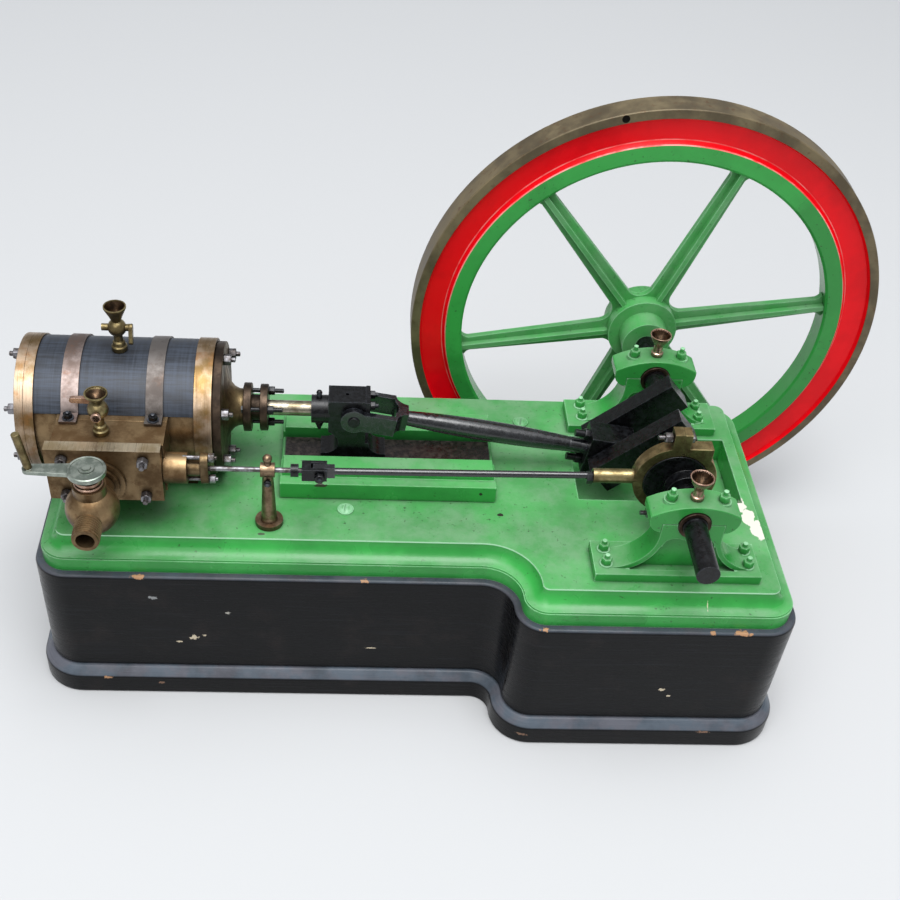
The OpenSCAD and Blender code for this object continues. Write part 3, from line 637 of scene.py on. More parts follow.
BRIGHT_BRONZE = ("cast_gunmetal", "#9A815F", "#6A5237", "#5F3F26")
DARK_BRONZE = ("oily_gunmetal", "#54463A", "#2C241E", "#201A17", 0.4)
NECK_BRONZE = ("rubbed_gunmetal", "#7E6C4C", "#54442F", "#3A2D1F", 0.44, 8)
GLAND_BRONZE = ("browned_gunmetal", "#7F6C50", "#58472F", "#4C3523", 0.36, 8)
BUSH_BRONZE = ("dark_bush_bronze", "#6F5A50", "#43332B", "#2A1F1A", 0.4, 6)
POST_BRONZE = ("browned_bronze", "#9C856B", "#66523F", "#4A382B", 0.32, 8)
COPPER_BRONZE = ("coppery_bronze", "#DDBBA6", "#AD8874", "#7A5848", 0.25, 6)
BRASS = ("dulled_brass", "#A3946A", "#6F6142", "#4A3C28", 0.32, 7)
DARK_BOWL_INSIDE = ("oily_bowl", "#5A4634", "#2E231A", "#1C1510", 0.3, 4)
BAND_METALS = {
    "left": ("coppery_bronze_strip", "#9F918C", "#71625B", "#84604F", 0.36, 18),
    "right": ("browned_bronze_strip", "#7C7672", "#5B5450", "#5F4E44", 0.42, 18),
}
MILLED_BRONZE = ("bright_milled_bronze", "#CDBEA4", "#AC9877", "#8E7856")

# Steels: two tones, then roughness and for oiled steel how metallic it is

NUT_STEEL = ("dulled_nut_steel", "#8D8C90", "#4E4845", 0.36)
ROD_STEEL = ("oiled_bright_rod", "#A39C8C", "#6F6550", 0.24)
LEVER_STEEL = ("greyed_lever_plate", "#A3AAA0", "#7B847B", 0.34)
SLIDE_IRON = ("browned_slide_iron", "#262120", "#4A413C", 0.3)
OILED_STEEL = ("oiled_black_steel", "#0E0F12", "#191B20", 0.21, 0.0)


# Shapes

def axis_frame(base, axis, turn=0.0):
    """A frame at base in mm whose Z runs along axis."""
    tip = Vector(axis).normalized().to_track_quat("Z", "Y").to_matrix().to_4x4()
    return Matrix.Translation(Vector(base) * MM) @ tip @ Matrix.Rotation(turn, 4, "Z")


def cone(bm, base, axis, length, d0, d1=None, sides=32, turn=0.0):
    """A round or many-sided bar from base along axis, in mm. Returns its vertices."""
    d1 = d0 if d1 is None else d1
    at = axis_frame(base, axis, turn) @ Matrix.Translation((0, 0, length * MM / 2))
    made = bmesh.ops.create_cone(
        bm,
        cap_ends=True,
        segments=sides,
        radius1=d0 * MM / 2,
        radius2=d1 * MM / 2,
        depth=length * MM,
        matrix=at,
    )
    return made["verts"]


def softened(bm, radius, least=28, edges=None, segments=2):
    """Bevels the edges that turn by least degrees or more, of all or of edges."""
    sharp = [
        e
        for e in (bm.edges if edges is None else edges)
        if len(e.link_faces) == 2 and e.calc_face_angle(0) > math.radians(least)
    ]
    bmesh.ops.bevel(
        bm,
        geom=sharp,
        offset=radius * MM,
        segments=segments,
        profile=0.5,
        affect="EDGES",
        material=-1,
        clamp_overlap=edges is None,
    )


def rounded(bm, verts, radius, segments=2):
    """Bevels the sharp edges between verts."""
    inside = set(verts)
    edges = {e for v in verts for e in v.link_edges if inside.issuperset(e.verts)}
    softened(bm, radius, 30, edges, segments)


def ball(bm, centre, d, parts=24):
    """A ball, in mm."""
    at = Matrix.Translation(Vector(centre) * MM)
    bmesh.ops.create_uvsphere(
        bm, u_segments=parts, v_segments=parts // 2, radius=d * MM / 2, matrix=at
    )


def turned(bm, base, axis, outline, sides):
    """A turned shape: outline lists radius and height in mm, and ends where it starts."""
    at = axis_frame(base, axis)
    points = [bm.verts.new(at @ Vector((r * MM, 0, h * MM))) for r, h in outline]
    edges = [bm.edges.new(pair) for pair in zip(points, points[1:])]
    bmesh.ops.spin(
        bm,
        geom=points + edges,
        cent=at.translation,
        axis=at.to_3x3() @ Vector(Z_AXIS),
        angle=math.tau,
        steps=sides,
        use_merge=True,
        use_duplicate=False,
    )
    bmesh.ops.remove_doubles(bm, verts=bm.verts, dist=1e-6)
    bmesh.ops.recalc_face_normals(bm, faces=bm.faces)


def bead(d, height, radius):
    """Outline of a ring with rounded edges, in mm, standing at 0."""
    turns = [math.radians(a) for a in (0, 30, 60, 90)]
    low_side = [
        (d / 2 - radius + radius * math.sin(a), radius - radius * math.cos(a))
        for a in turns
    ]
    high_side = [(r, height - h) for r, h in reversed(low_side)]
    return [(0.1, 0), *low_side, *high_side, (0.1, height)]


def nut(bm, base, axis, flats, height=None, stud=None, out=1.6, washer=True, turn=0.3):
    """A chamfered hexagon nut with its washer and the stud's domed end, in mm.

    flats is its width across the flats, stud the stud's diameter, and out how far the stud
    stands out of it.
    """
    height = 0.72 * flats if height is None else height
    stud = 0.5 * flats if stud is None else stud
    washer_t, chamfer, dome = 0.6, 0.28, 0.35
    way = Vector(axis).normalized()
    base = Vector(base)
    if washer:
        cone(bm, base, way, washer_t, 1.35 * flats, sides=24)
        base = base + way * washer_t
    corners = 2 * flats / math.sqrt(3)
    rounded(bm, cone(bm, base, way, height, corners, sides=6, turn=turn), chamfer, 1)
    cone(bm, base + way * height, way, out, stud, sides=16)
    cone(bm, base + way * (height + out), way, dome, stud, 0.6 * stud, sides=16)


def touching(verts):
    """verts with the edges and faces that touch them."""
    edges = {e for v in verts for e in v.link_edges}
    faces = {f for v in verts for f in v.link_faces}
    return [*verts, *edges, *faces]


def slotted_screw(bm, base, axis, d, h, turn):
    """A round-headed screw in mm, made of two halves with the slot between them."""
    at = axis_frame(base, axis, turn)
    half_slot = 0.55 * MM
    cone(bm, base, axis, 0.4 * h, d, sides=32)
    for side in (-1, 1):
        verts = bmesh.ops.create_uvsphere(
            bm, u_segments=32, v_segments=16, radius=d * MM / 2
        )["verts"]
        slot_wall = Vector((0, side * half_slot, 0)), Vector((0, -side, 0))
        seat = Vector((0, 0, 0)), Vector((0, 0, -1))
        for point, cut_off in (slot_wall, seat):
            cut = bmesh.ops.bisect_plane(
                bm,
                geom=touching(verts),
                plane_co=point,
                plane_no=cut_off,
                clear_outer=True,
                dist=1e-7,
            )
            rim = [g for g in cut["geom_cut"] if isinstance(g, bmesh.types.BMEdge)]
            bmesh.ops.holes_fill(bm, edges=rim, sides=0)
            verts = [g for g in cut["geom"] if isinstance(g, bmesh.types.BMVert)]
        for v in verts:
            v.co.z *= 2 * (h / d)
        bmesh.ops.transform(bm, matrix=at, verts=verts)


def ring_of(count, first, radius):
    """Places on a circle about the cylinder's axis, in mm, the first at first degrees."""
    for i in range(count):
        a = math.radians(first + 360 * i / count)
        yield radius * math.cos(a), SHAFT_Z + radius * math.sin(a)


def reach(at, across="y"):
    """Distance of a place in mm from the cylinder's axis, or with x from the shaft's."""
    return math.hypot(getattr(at, across), at.z - SHAFT_Z)


# Pieces

SHARP_DEG = 34


def stood(name, bm, body, materials, replaces=()):
    """Makes a piece of bm that moves with body. Its place is in its mesh."""
    mesh = bpy.data.meshes.new(name)
    bm.to_mesh(mesh)
    bm.free()
    for m in materials:
        mesh.materials.append(m)
    mesh.shade_smooth()
    mesh.set_sharp_from_angle(angle=math.radians(SHARP_DEG))
    piece = bpy.data.objects.new(name, mesh)
    bpy.context.scene.collection.objects.link(piece)
    even = piece.modifiers.new("flat_faces_shade_flat", "WEIGHTED_NORMAL")
    even.mode = "FACE_AREA"
    even.keep_sharp = True
    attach(piece, body)
    if replaces:
        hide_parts(*replaces)


def copied(node, edge=None, left_out=None):
    """A merged copy of a node's mesh, with its edges softened.

    left_out tells from a corner's place in mm whether it belongs to faces to leave out.
    """
    bm = bmesh.new()
    bm.from_mesh(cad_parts[node].data)
    bmesh.ops.remove_doubles(bm, verts=bm.verts, dist=2e-6)
    if left_out:
        gone = [f for f in bm.faces if all(left_out(v.co / MM) for v in f.verts)]
        bmesh.ops.delete(bm, geom=gone, context="FACES")
    bmesh.ops.dissolve_limit(
        bm, angle_limit=math.radians(0.6), verts=bm.verts, edges=bm.edges
    )
    radius = sizes().edge / MM if edge is None else edge
    if radius:
        softened(bm, radius)
    return bm


def dressed(node, body, slot, finish, edge=None, others=(), pick=None):
    """A copy of one node with its finish, and its edges rounded by edge in mm.

    pick gives the number of a face's finish from its middle in mm and its normal, where 0
    is finish and the next ones are others.
    """
    bm = copied(node, edge)
    if pick:
        bm.normal_update()
        for f in bm.faces:
            f.material_index = pick(f.calc_center_median() / MM, f.normal)
    stood(node + "_finished", bm, body, [finish, *others], [node])


# Operators, one for each piece or group of like pieces

class ENGINE_OT_plinth(bpy.types.Operator):
    """Paints the base board and the plinth's walls, and chips their rims"""

    bl_idname = "engine.plinth"
    bl_label = "Plinth"

    def execute(self, context):
        top = high("plinth_walls").z
        front = low("base_board").y + BOARD_OUT
        step = front + WALL_STEP
        wood, pale, brown = "#A8805F", "#CDBFA6", "#7E6250"

        # Each spot's middle, its reach along each axis and its colour
        chips = (
            ((-308, step + 0.5, top - 0.5), (3.6, 2, 1.1), wood),
            ((-178, step + 0.5, top - 0.3), (2.2, 2, 0.8), wood),
            ((-77, front + 0.5, top - 0.3), (2.4, 2, 0.9), wood),
            ((19, front + 0.5, top - 0.3), (1.6, 2, 0.8), wood),
            ((36, front + 1.0, top - 0.3), (4.2, 2.4, 1.1), wood),
            ((-301, step, 79), (2.4, 2, 1.1), "#8D8F90"),
            ((-279, step, 45), (2.2, 2, 1.8), pale),
            ((-273, step, 47), (1, 2, 0.8), pale),
            ((-288, step, 41), (2, 2, 0.7), pale),
            ((-258, step, 67), (1.1, 2, 0.8), "#A5A29A"),
            ((-173, step, 38), (3.2, 2, 0.5), pale),
            ((-1, front, 46), (1.6, 2, 1.0), pale),
            ((4, front, 40), (1.0, 2, 0.7), pale),
        )
        # the walls' flat rims get less painted sheen than the board's
        walls = plinth_paint(chips=chips, rubbed=0.45)
        dressed("plinth_walls", "frame", "plinth_wood", walls, edge=2.2)
        board = (
            ((-333, step - 4, 13), (2.6, 3, 0.9), wood),
            ((-300, step - 6, 9), (2, 3, 0.9), brown),
            ((-81, front - 6, 8), (4, 3, 0.9), brown),
            ((30, front - 5, 13), (3.4, 3, 0.8), brown),
        )
        paint = plinth_paint("black_gloss_on_board", board)
        dressed("base_board", "frame", "plinth_wood", paint, edge=1.0)
        return {"FINISHED"}


class ENGINE_OT_bed(bpy.types.Operator):
    """Paints the bed plate and the crosshead's guide, and adds the bed's screws"""

    bl_idname = "engine.bed"
    bl_label = "Bed and guide"

    def execute(self, context):
        filler, dark = "#DAD8CC", "#26261F"

        # Three filled patches on the moulding, then a screw hole drawn as a dark spot of
        # painted shade, a scrape and a stain
        bare = (
            ((48.0, -31, 112), (3.6, 8, 12), filler),
            ((50.8, -43, 111), (4.0, 9, 12), filler),
            ((54.2, -54, 109), (4.6, 9, 12), filler),
            ((-98.8, -45.3, BED_Z), (1.8, 1.4, 1.5), dark),
            ((14.7, -105, 105), (0.4, 6.5, 5), "#B7BE9A"),
            ((-238, -66, BED_Z), (2.0, 1.0, 1.0), "#4A5A44"),
        )
        # the bed's top edge gets a pale line of painted highlight
        bed = green_enamel("green_enamel_flaked", bare, arris=BED_Z)
        dressed("bed_plate", "frame", "green_casting", bed, edge=0.8)
        marks = (
            ((-110.2, -35, 121.6), (1.1, 1.0, 1.0), dark),
            ((-204.8, -35, 125.5), (4.0, 1.6, 1.2), "#3A3A2E"),
        )
        guide = green_enamel("green_enamel_marked", marks)
        dressed("slide_guide", "frame", "green_casting", guide, edge=0.6)
        slide = material(black_steel, *SLIDE_IRON)
        dressed("slideway", "frame", "slide_steel", slide, edge=0.2)
        bm = bmesh.new()
        head_d, head_h, slot_turn = 9.5, 2.2, math.radians(80)
        for x, y in ((-190, -44), (-79, 42), (-190, 44)):
            slotted_screw(bm, (x, y, BED_Z), Z_AXIS, head_d, head_h, slot_turn)
        stood("bed_screws", bm, "frame", [material(green_enamel)])
        return {"FINISHED"}


class ENGINE_OT_cylinder(bpy.types.Operator):
    """Finishes the cylinder, its lagging and bands, its covers and their nuts"""

    bl_idname = "engine.cylinder"
    bl_label = "Cylinder"

    def execute(self, context):
        dark = material(gunmetal, *DARK_BRONZE)
        neck = material(gunmetal, *NECK_BRONZE)
        ring = material(turned_bronze)
        steel = material(dull_steel, *NUT_STEEL)
        black = material(black_steel)
        back_flange_t, front_flange_t, neck_r = 7, 11, 12

        def on_flange(at, normal):
            between = FLANGE_X0 + back_flange_t < at.x < FLANGE_X1 - front_flange_t
            return int(reach(at) > BARREL_R and not between)

        def on_neck(at, normal):
            return int(normal.x > 0.5 or COVER_X + 0.3 < at.x and reach(at) < neck_r)

        body = material(gunmetal, *BRIGHT_BRONZE)
        dressed("cylinder_body", "frame", "gunmetal", body, 0.2, [ring], on_flange)
        dressed("back_cover", "frame", "gunmetal", ring, edge=0.2)
        dressed("front_cover", "frame", "dark_gunmetal", dark, None, [neck], on_neck)
        dressed("piston_gland", "frame", "dark_gunmetal", dark)

        # The sweep from the cover up to its neck: radius, and height above the cover
        flare = [
            (10.6, 9.6),
            (10.9, 7.6),
            (12.2, 5.0),
            (14.8, 2.7),
            (18.6, 1.1),
            (24, 0.1),
            (10.6, 0.1),
        ]
        bm = bmesh.new()
        turned(bm, (COVER_X, 0, SHAFT_Z), X_AXIS, flare + flare[:1], sides=64)
        stood("cover_flare", bm, "frame", [neck])

        dressed("lagging", "frame", "lagging", material(lagging_steel), edge=0.2)
        for side in ("left", "right"):
            band = material(gunmetal, *BAND_METALS[side])
            dressed("lagging_band_" + side, "frame", "band", band, edge=0.25)
        flats = sizes().cover_nut / MM
        nut_ring_r = 33.4
        for name, x, way in (("front", COVER_X, 1), ("back", CYLINDER_X0, -1)):
            bm = bmesh.new()
            for k, (y, z) in enumerate(ring_of(6, 30, nut_ring_r)):
                nut(bm, (x, y, z), (way, 0, 0), flats, out=2.2, washer=False, turn=0.3 + k)
            stood(name + "_cover_nuts", bm, "frame", [steel])

        # Three studs through the gland, each with a nut before it and one behind
        face = high("piston_gland").x
        seat = high("front_cover").x
        stud_ring_r, stud_d = 10.6, 2.6
        gland_nut, back_nut_d, back_nut_t = 4.8, 4.6, 5.6
        bm = bmesh.new()
        for k, (y, z) in enumerate(ring_of(3, 30, stud_ring_r)):
            cone(bm, (seat - 1, y, z), X_AXIS, face - seat + 2, stud_d, sides=16)
            at, back = (face, y, z), (seat - back_nut_t, y, z)
            nut(bm, at, X_AXIS, gland_nut, out=5.0, stud=stud_d, washer=False, turn=k)
            cone(bm, back, X_AXIS, back_nut_t, back_nut_d, sides=6)
        stood("gland_studs", bm, "frame", [black])

        bm = bmesh.new()
        from_edge, above_chest, screw_flats = 3.6, 1.6, 4.8
        for side in ("left", "right"):
            band = middle("lagging_band_" + side)
            y = low("lagging_band_" + side).y + from_edge
            at = (band.x, y, high("steam_chest").z + above_chest)
            nut(bm, at, Z_AXIS, screw_flats, height=2.6, out=0.8)
        stood("band_screws", bm, "frame", [black])
        return {"FINISHED"}


class ENGINE_OT_chest(bpy.types.Operator):
    """Finishes the steam chest, its cover and nuts, and the valve rod's gland"""

    bl_idname = "engine.chest"
    bl_label = "Steam chest"

    def execute(self, context):
        bronze = material(gunmetal, *BRIGHT_BRONZE)
        gland = material(gunmetal, *GLAND_BRONZE)
        bright = material(turned_bronze, *MILLED_BRONZE)
        steel = material(dull_steel, *NUT_STEEL)
        corner, opposite = low("chest_cover"), high("chest_cover")

        def on_top(at, normal):
            return int(normal.z > 0.7 and at.z > opposite.z - 1)

        dressed("steam_chest", "frame", "gunmetal", bronze, edge=0.3)
        dressed("valve_gland", "frame", "gunmetal", gland, edge=0.3)
        dressed("chest_cover", "frame", "gunmetal", bronze, 0.3, [bright], on_top)
        flats = sizes().cover_nut / MM
        in_x, in_z = 9.5, 6.2
        bm = bmesh.new()
        for k in range(4):
            x = opposite.x - in_x if k > 1 else corner.x + in_x
            z = opposite.z - in_z if k % 2 else corner.z + in_z
            at = (x, CHEST_FACE_Y, z)
            nut(bm, at, (0, -1, 0), flats, out=2.8, washer=False, turn=k)
        stood("chest_nuts", bm, "frame", [steel])
        bm = bmesh.new()
        face = high("valve_gland").x
        stud_up, stud_length, stud_d = 7.7, 14, 2.4
        for side in (-1, 1):
            z = SHAFT_Z + stud_up * side
            start = (face - stud_length, VALVE_Y, z)
            cone(bm, start, X_AXIS, stud_length, stud_d, sides=16)
            nut(bm, (face, VALVE_Y, z), X_AXIS, 4.6, 3.4, out=1.2, washer=False)
        stood("valve_gland_nuts", bm, "frame", [steel])
        return {"FINISHED"}


class ENGINE_OT_stop_valve(bpy.types.Operator):
    """Finishes the stop valve with its threaded stub, and its lever"""

    bl_idname = "engine.stop_valve"
    bl_label = "Stop valve"

    def execute(self, context):
        bronze = material(gunmetal, *BRIGHT_BRONZE)
        dressed("stop_valve_body", "frame", "gunmetal", bronze, edge=0.3)

        # The stub's thread, ridge by ridge: radius, and height in parts of the pitch
        mouth = low("stop_valve_body").y
        x = middle("stop_valve_body").x
        stub_z, first_ridge, ridges = SHAFT_Z - 3, 1.2, 7
        pitch = sizes().thread_pitch / MM
        ridge = ((6.6, 0), (7.45, 0.28), (7.45, 0.42), (6.6, 0.7), (6.6, 0))
        outline = [(r, h * pitch) for r, h in ridge]
        bm = bmesh.new()
        for i in range(ridges):
            start = (x, mouth + first_ridge + i * pitch, stub_z)
            turned(bm, start, Y_AXIS, outline, sides=40)
        stood("inlet_thread", bm, "frame", [bronze])

        spindle_y = mouth + 26.0
        bm = bmesh.new()
        for up, d in ((13.6, 15.6), (16.4, 14.6)):
            turned(bm, (x, spindle_y, SHAFT_Z + up), Z_AXIS, bead(d, 2.2, 0.7), sides=40)
        copper = material(gunmetal, *COPPER_BRONZE)
        stood("valve_gland_rings", bm, "frame", [copper])

        plate = material(dull_steel, *LEVER_STEEL)
        brass = material(gunmetal, *BRASS)
        top = SHAFT_Z + 24.4
        arm, plate_t = 22, 2.6

        def on_handle(at, normal):
            return int(at.x < x - arm and at.z > top + 0.2 or at.z < top - plate_t)

        lever = ("stop_valve_lever", "stop_lever", "lever_plate")
        dressed(*lever, plate, 0.2, [brass], on_handle)

        # A raised rim round the lever's disc, and two steps in its middle
        rim = [(8.6, 0), (8.8, 0.75), (9.6, 0.9), (10.2, 0.6), (10.3, 0)]
        bm = bmesh.new()
        turned(bm, (x, spindle_y, top - 0.4), Z_AXIS, rim, sides=48)
        cone(bm, (x, spindle_y, top - 0.2), Z_AXIS, 0.9, 8.6, 8.0, sides=32)
        cone(bm, (x, spindle_y, top + 0.5), Z_AXIS, 0.9, 5.2, 4.8, sides=32)
        stood("lever_rim", bm, "stop_lever", [plate])
        return {"FINISHED"}


class ENGINE_OT_oil_cups(bpy.types.Operator):
    """Finishes the oil cups and their taps"""

    bl_idname = "engine.oil_cups"
    bl_label = "Oil cups"

    def execute(self, context):
        brass = material(gunmetal, *BRASS)
        copper = material(gunmetal, *COPPER_BRONZE)
        bowl_inside = material(gunmetal, *DARK_BOWL_INSIDE)
        lip, depth = 0.9, 7
        for node, slot, metal in (
            ("cylinder_oil_cup", "brass", brass),
            ("chest_oil_cup", "brass", brass),
            ("near_oil_cup", "copper", copper),
            ("far_oil_cup", "copper", copper),
        ):
            axis, rim = middle(node), high(node).z

            # the inside of each bowl gets a darker bronze
            def in_bowl(at, normal):
                out = Vector((at.x - axis.x, at.y - axis.y, 0))
                deep = rim - depth < at.z < rim - lip
                return int(deep and (normal.dot(out) < 0 or out.length < 1))

            dressed(node, "frame", slot, metal, 0.12, [bowl_inside], in_bowl)
        dressed("cylinder_oil_tap", "cylinder_tap", "brass", brass, edge=0.3)
        dressed("chest_oil_tap", "chest_tap", "copper", copper, edge=0.3)
        bm = bmesh.new()
        tap_z = high("steam_chest").z + 16
        front = (middle("chest_oil_cup").x, low("chest_oil_tap").y, tap_z)
        turned(bm, front, Y_AXIS, bead(5.6, 1.8, 0.5), sides=28)
        stood("chest_tap_screw", bm, "chest_tap", [copper])
        return {"FINISHED"}


class ENGINE_OT_crosshead(bpy.types.Operator):
    """Finishes the piston rod, the crosshead and its pin, and adds its keep and bolts"""

    bl_idname = "engine.crosshead"
    bl_label = "Crosshead"

    def execute(self, context):
        black = material(black_steel)
        rod = material(dull_steel, *ROD_STEEL)
        dressed("piston_rod", "crosshead", "rod_steel", rod, edge=0.3)
        dressed("crosshead", "crosshead", "black_steel", black, edge=0.45)
        dressed("crosshead_pin", "crosshead", "black_steel", black, edge=0.4)

        # The cotter through the rod's socket: its foot, its head and the ball on it
        cotter_in = 4.6
        x = low("crosshead").x + cotter_in
        bm = bmesh.new()
        cone(bm, (x, 0, SHAFT_Z - 15.0), Z_AXIS, 6.6, 1.6, 6.4, sides=20)
        cone(bm, (x, 0, SHAFT_Z + 7.4), Z_AXIS, 4.6, 3.4, 2.9, sides=20)
        ball(bm, (x, 0, SHAFT_Z + 11.8), 3.6)

        # The keep plate before the pin, and the two nuts that hold it
        top = SHAFT_Z + 11.3
        keep = middle("crosshead_pin").x + 7.0
        keep_t, keep_width, keep_height = 2.6, 17.4, 11.2
        nut_y = 5.2
        for y in (-nut_y, nut_y):
            at = (keep + 2.4, y, top - 3.9)
            nut(bm, at, X_AXIS, 4.6, 3.0, stud=2.6, washer=False, turn=y)
        plate = bmesh.ops.create_cube(bm, size=1.0)["verts"]
        keep_size = Matrix.Diagonal((keep_t * MM, keep_width * MM, keep_height * MM, 1))
        keep_at = Matrix.Translation(Vector((keep + 1.2, 0, top - 5.4)) * MM)
        bmesh.ops.transform(bm, matrix=keep_at @ keep_size, verts=plate)
        rounded(bm, plate, 0.4)
        stood("crosshead_keep", bm, "crosshead", [black])
        return {"FINISHED"}


class ENGINE_OT_connecting_rod(bpy.types.Operator):
    """Finishes the connecting rod and its big end with their bolts"""

    bl_idname = "engine.connecting_rod"
    bl_label = "Connecting rod"

    def execute(self, context):
        black = material(black_steel)
        oiled = material(black_steel, *OILED_STEEL)
        dressed("connecting_rod", "rod", "black_steel", oiled, edge=1.4)
        dressed("big_end", "rod", "black_steel", black, edge=0.5)
        eye = Vector((middle("crosshead_pin").x, 0, SHAFT_Z))
        along = (CRANK_PIN - eye).normalized()
        across = Vector((-along.z, 0, along.x))
        bm = bmesh.new()
        bolt_side = 9.3
        for side in (-bolt_side, bolt_side):
            for from_pin, way, out in ((-15.0, -1, 1.6), (13.0, 1, 2.2)):
                at = CRANK_PIN + across * side + along * from_pin
                axis = along * way
                nut(bm, at, axis, 6.4, 3.4, stud=3.4, out=out, washer=False, turn=side)
        stood("big_end_nuts", bm, "rod", [black])
        return {"FINISHED"}


class ENGINE_OT_crankshaft(bpy.types.Operator):
    """Finishes the crankshaft"""

    bl_idname = "engine.crankshaft"
    bl_label = "Crankshaft"

    def execute(self, context):
        black = material(black_steel)
        dressed("crankshaft", "crank", "black_steel", black, edge=0.5)
        return {"FINISHED"}


class ENGINE_OT_flywheel(bpy.types.Operator):
    """Paints the flywheel: bare tread, red sunk panels, green spokes and inner ring"""

    bl_idname = "engine.flywheel"
    bl_label = "Flywheel"

    def execute(self, context):
        # One side of the rim's section: distance in from the tread, depth from the face
        section = (
            (33, 2),
            (31.5, 1),
            (22.4, 1),
            (20, 4.5),
            (6.8, 3),
            (5.6, 0),
            (0.6, 0),
            (0, 0.6),
        )
        width = high("crankshaft").y - SHAFT_END - RIM_FACE_Y
        half = [(RIM_R - inwards, depth) for inwards, depth in section]
        outline = half + [(r, width - h) for r, h in reversed(half)] + half[:1]
        rim = bmesh.new()
        turned(rim, (0, RIM_FACE_Y, SHAFT_Z), Y_AXIS, outline, sides=192)
        softened(rim, 0.25, least=20)
        panel_in, panel_out = RIM_R - 22.5, RIM_R - 5.7
        for f in rim.faces:
            far = reach(f.calc_center_median() / MM, "x")
            f.material_index = (far > panel_in) + (far > panel_out)
        finishes = [material(green_enamel), material(red_enamel), material(turned_iron)]
        stood("flywheel_rim", rim, "crank", finishes)

        def is_rim(at):
            return reach(at, "x") > RIM_R - 33.5

        dusty = green_enamel("green_enamel_dusty", settled=0.75)
        bm = copied("flywheel", 0.45, is_rim)
        stood("flywheel_finished", bm, "crank", [dusty], ["flywheel"])

        # a thin dark disc on the rim's face stands for the barring hole: painted shade, no
        # hole is cut
        bm = bmesh.new()
        hole_r, hole_d, hole_turn = 147.2, 4.6, math.radians(104)
        x, up = hole_r * math.cos(hole_turn), hole_r * math.sin(hole_turn)
        cone(bm, (x, RIM_FACE_Y - 0.02, SHAFT_Z + up), Y_AXIS, 0.4, hole_d, sides=24)
        stood("barring_hole", bm, "crank", [painted_hole_shade()])
        return {"FINISHED"}


class ENGINE_OT_eccentric(bpy.types.Operator):
    """Finishes the eccentric, its strap, its rod and the valve rod with its guide"""

    bl_idname = "engine.eccentric"
    bl_label = "Eccentric gear"

    def execute(self, context):
        black = material(black_steel)
        oiled = material(black_steel, *OILED_STEEL)
        brass = material(gunmetal, *BRASS)
        post = material(gunmetal, *POST_BRONZE)
        steel = material(dull_steel, *NUT_STEEL)
        dressed("eccentric_sheave", "crank", "black_steel", black, edge=0.4)
        dressed("eccentric_strap", "eccentric", "brass", brass, edge=0.4)
        dressed("eccentric_cap", "eccentric", "brass", brass, edge=0.4)
        dressed("eccentric_rod", "eccentric", "black_steel", oiled, edge=0.3)
        guide_end = high("valve_rod_guide").x

        def past_guide(at, normal):
            return int(at.x > guide_end - 4)

        dressed("valve_rod", "valve", "bright_steel", steel, 0.3, [black], past_guide)
        dressed("valve_rod_guide", "frame", "brass", post, edge=0.3)

        strap = low("eccentric_strap")
        y = middle("eccentric_cap").y
        lug_in, bolt_d = 4.7, 2.8
        bm = bmesh.new()
        for z in (high("eccentric_strap").z - lug_in, strap.z + lug_in):
            outer = (ECCENTRIC_X - 6.2, y, z)
            inner = (ECCENTRIC_X + 3.9, y, z)
            nut(bm, outer, (-1, 0, 0), 5.4, 4.2, bolt_d, out=3.4, washer=False)
            nut(bm, inner, X_AXIS, 4.8, 2.2, bolt_d, out=0.3, washer=False, turn=z)
        stood("strap_bolts", bm, "eccentric", [steel])

        # The locknut where the rod enters the strap, along the rod's own slope
        knuckle = high("valve_rod").x
        rod = middle("eccentric_rod")
        fall = (rod.z - SHAFT_Z) / (rod.x - knuckle)
        x = strap.x - 3.4
        at = (x, y, SHAFT_Z + fall * (x - knuckle))
        bm = bmesh.new()
        nut(bm, at, (1, 0, fall), 6.6, 3.4, stud=5, out=0.2, washer=False)
        stood("rod_locknut", bm, "eccentric", [black])

        # The knuckle's pin with its nut and head, and the collar before the knuckle
        bm = bmesh.new()
        x = knuckle - 4
        near_end = (x, low("valve_rod").y, SHAFT_Z)
        far_end = (x, high("valve_rod").y, SHAFT_Z)
        nut(bm, near_end, (0, -1, 0), 5.4, 2.4, stud=2.4, out=1.0, washer=False)
        cone(bm, far_end, Y_AXIS, 1.2, 4.6, sides=20)
        collar = (low("eccentric_rod").x - 12.6, y, SHAFT_Z)
        cone(bm, collar, X_AXIS, 4.4, 7.4, sides=28)
        stood("knuckle_pin", bm, "valve", [black])

        bm = bmesh.new()
        guide = middle("valve_rod_guide")
        at = (guide.x, guide.y - 3.2, SHAFT_Z - 6.6)
        nut(bm, at, (0, -1, 0), 4.2, 2.0, stud=2.2, out=0.8, washer=False)
        stood("guide_clamp_screw", bm, "frame", [black])
        return {"FINISHED"}


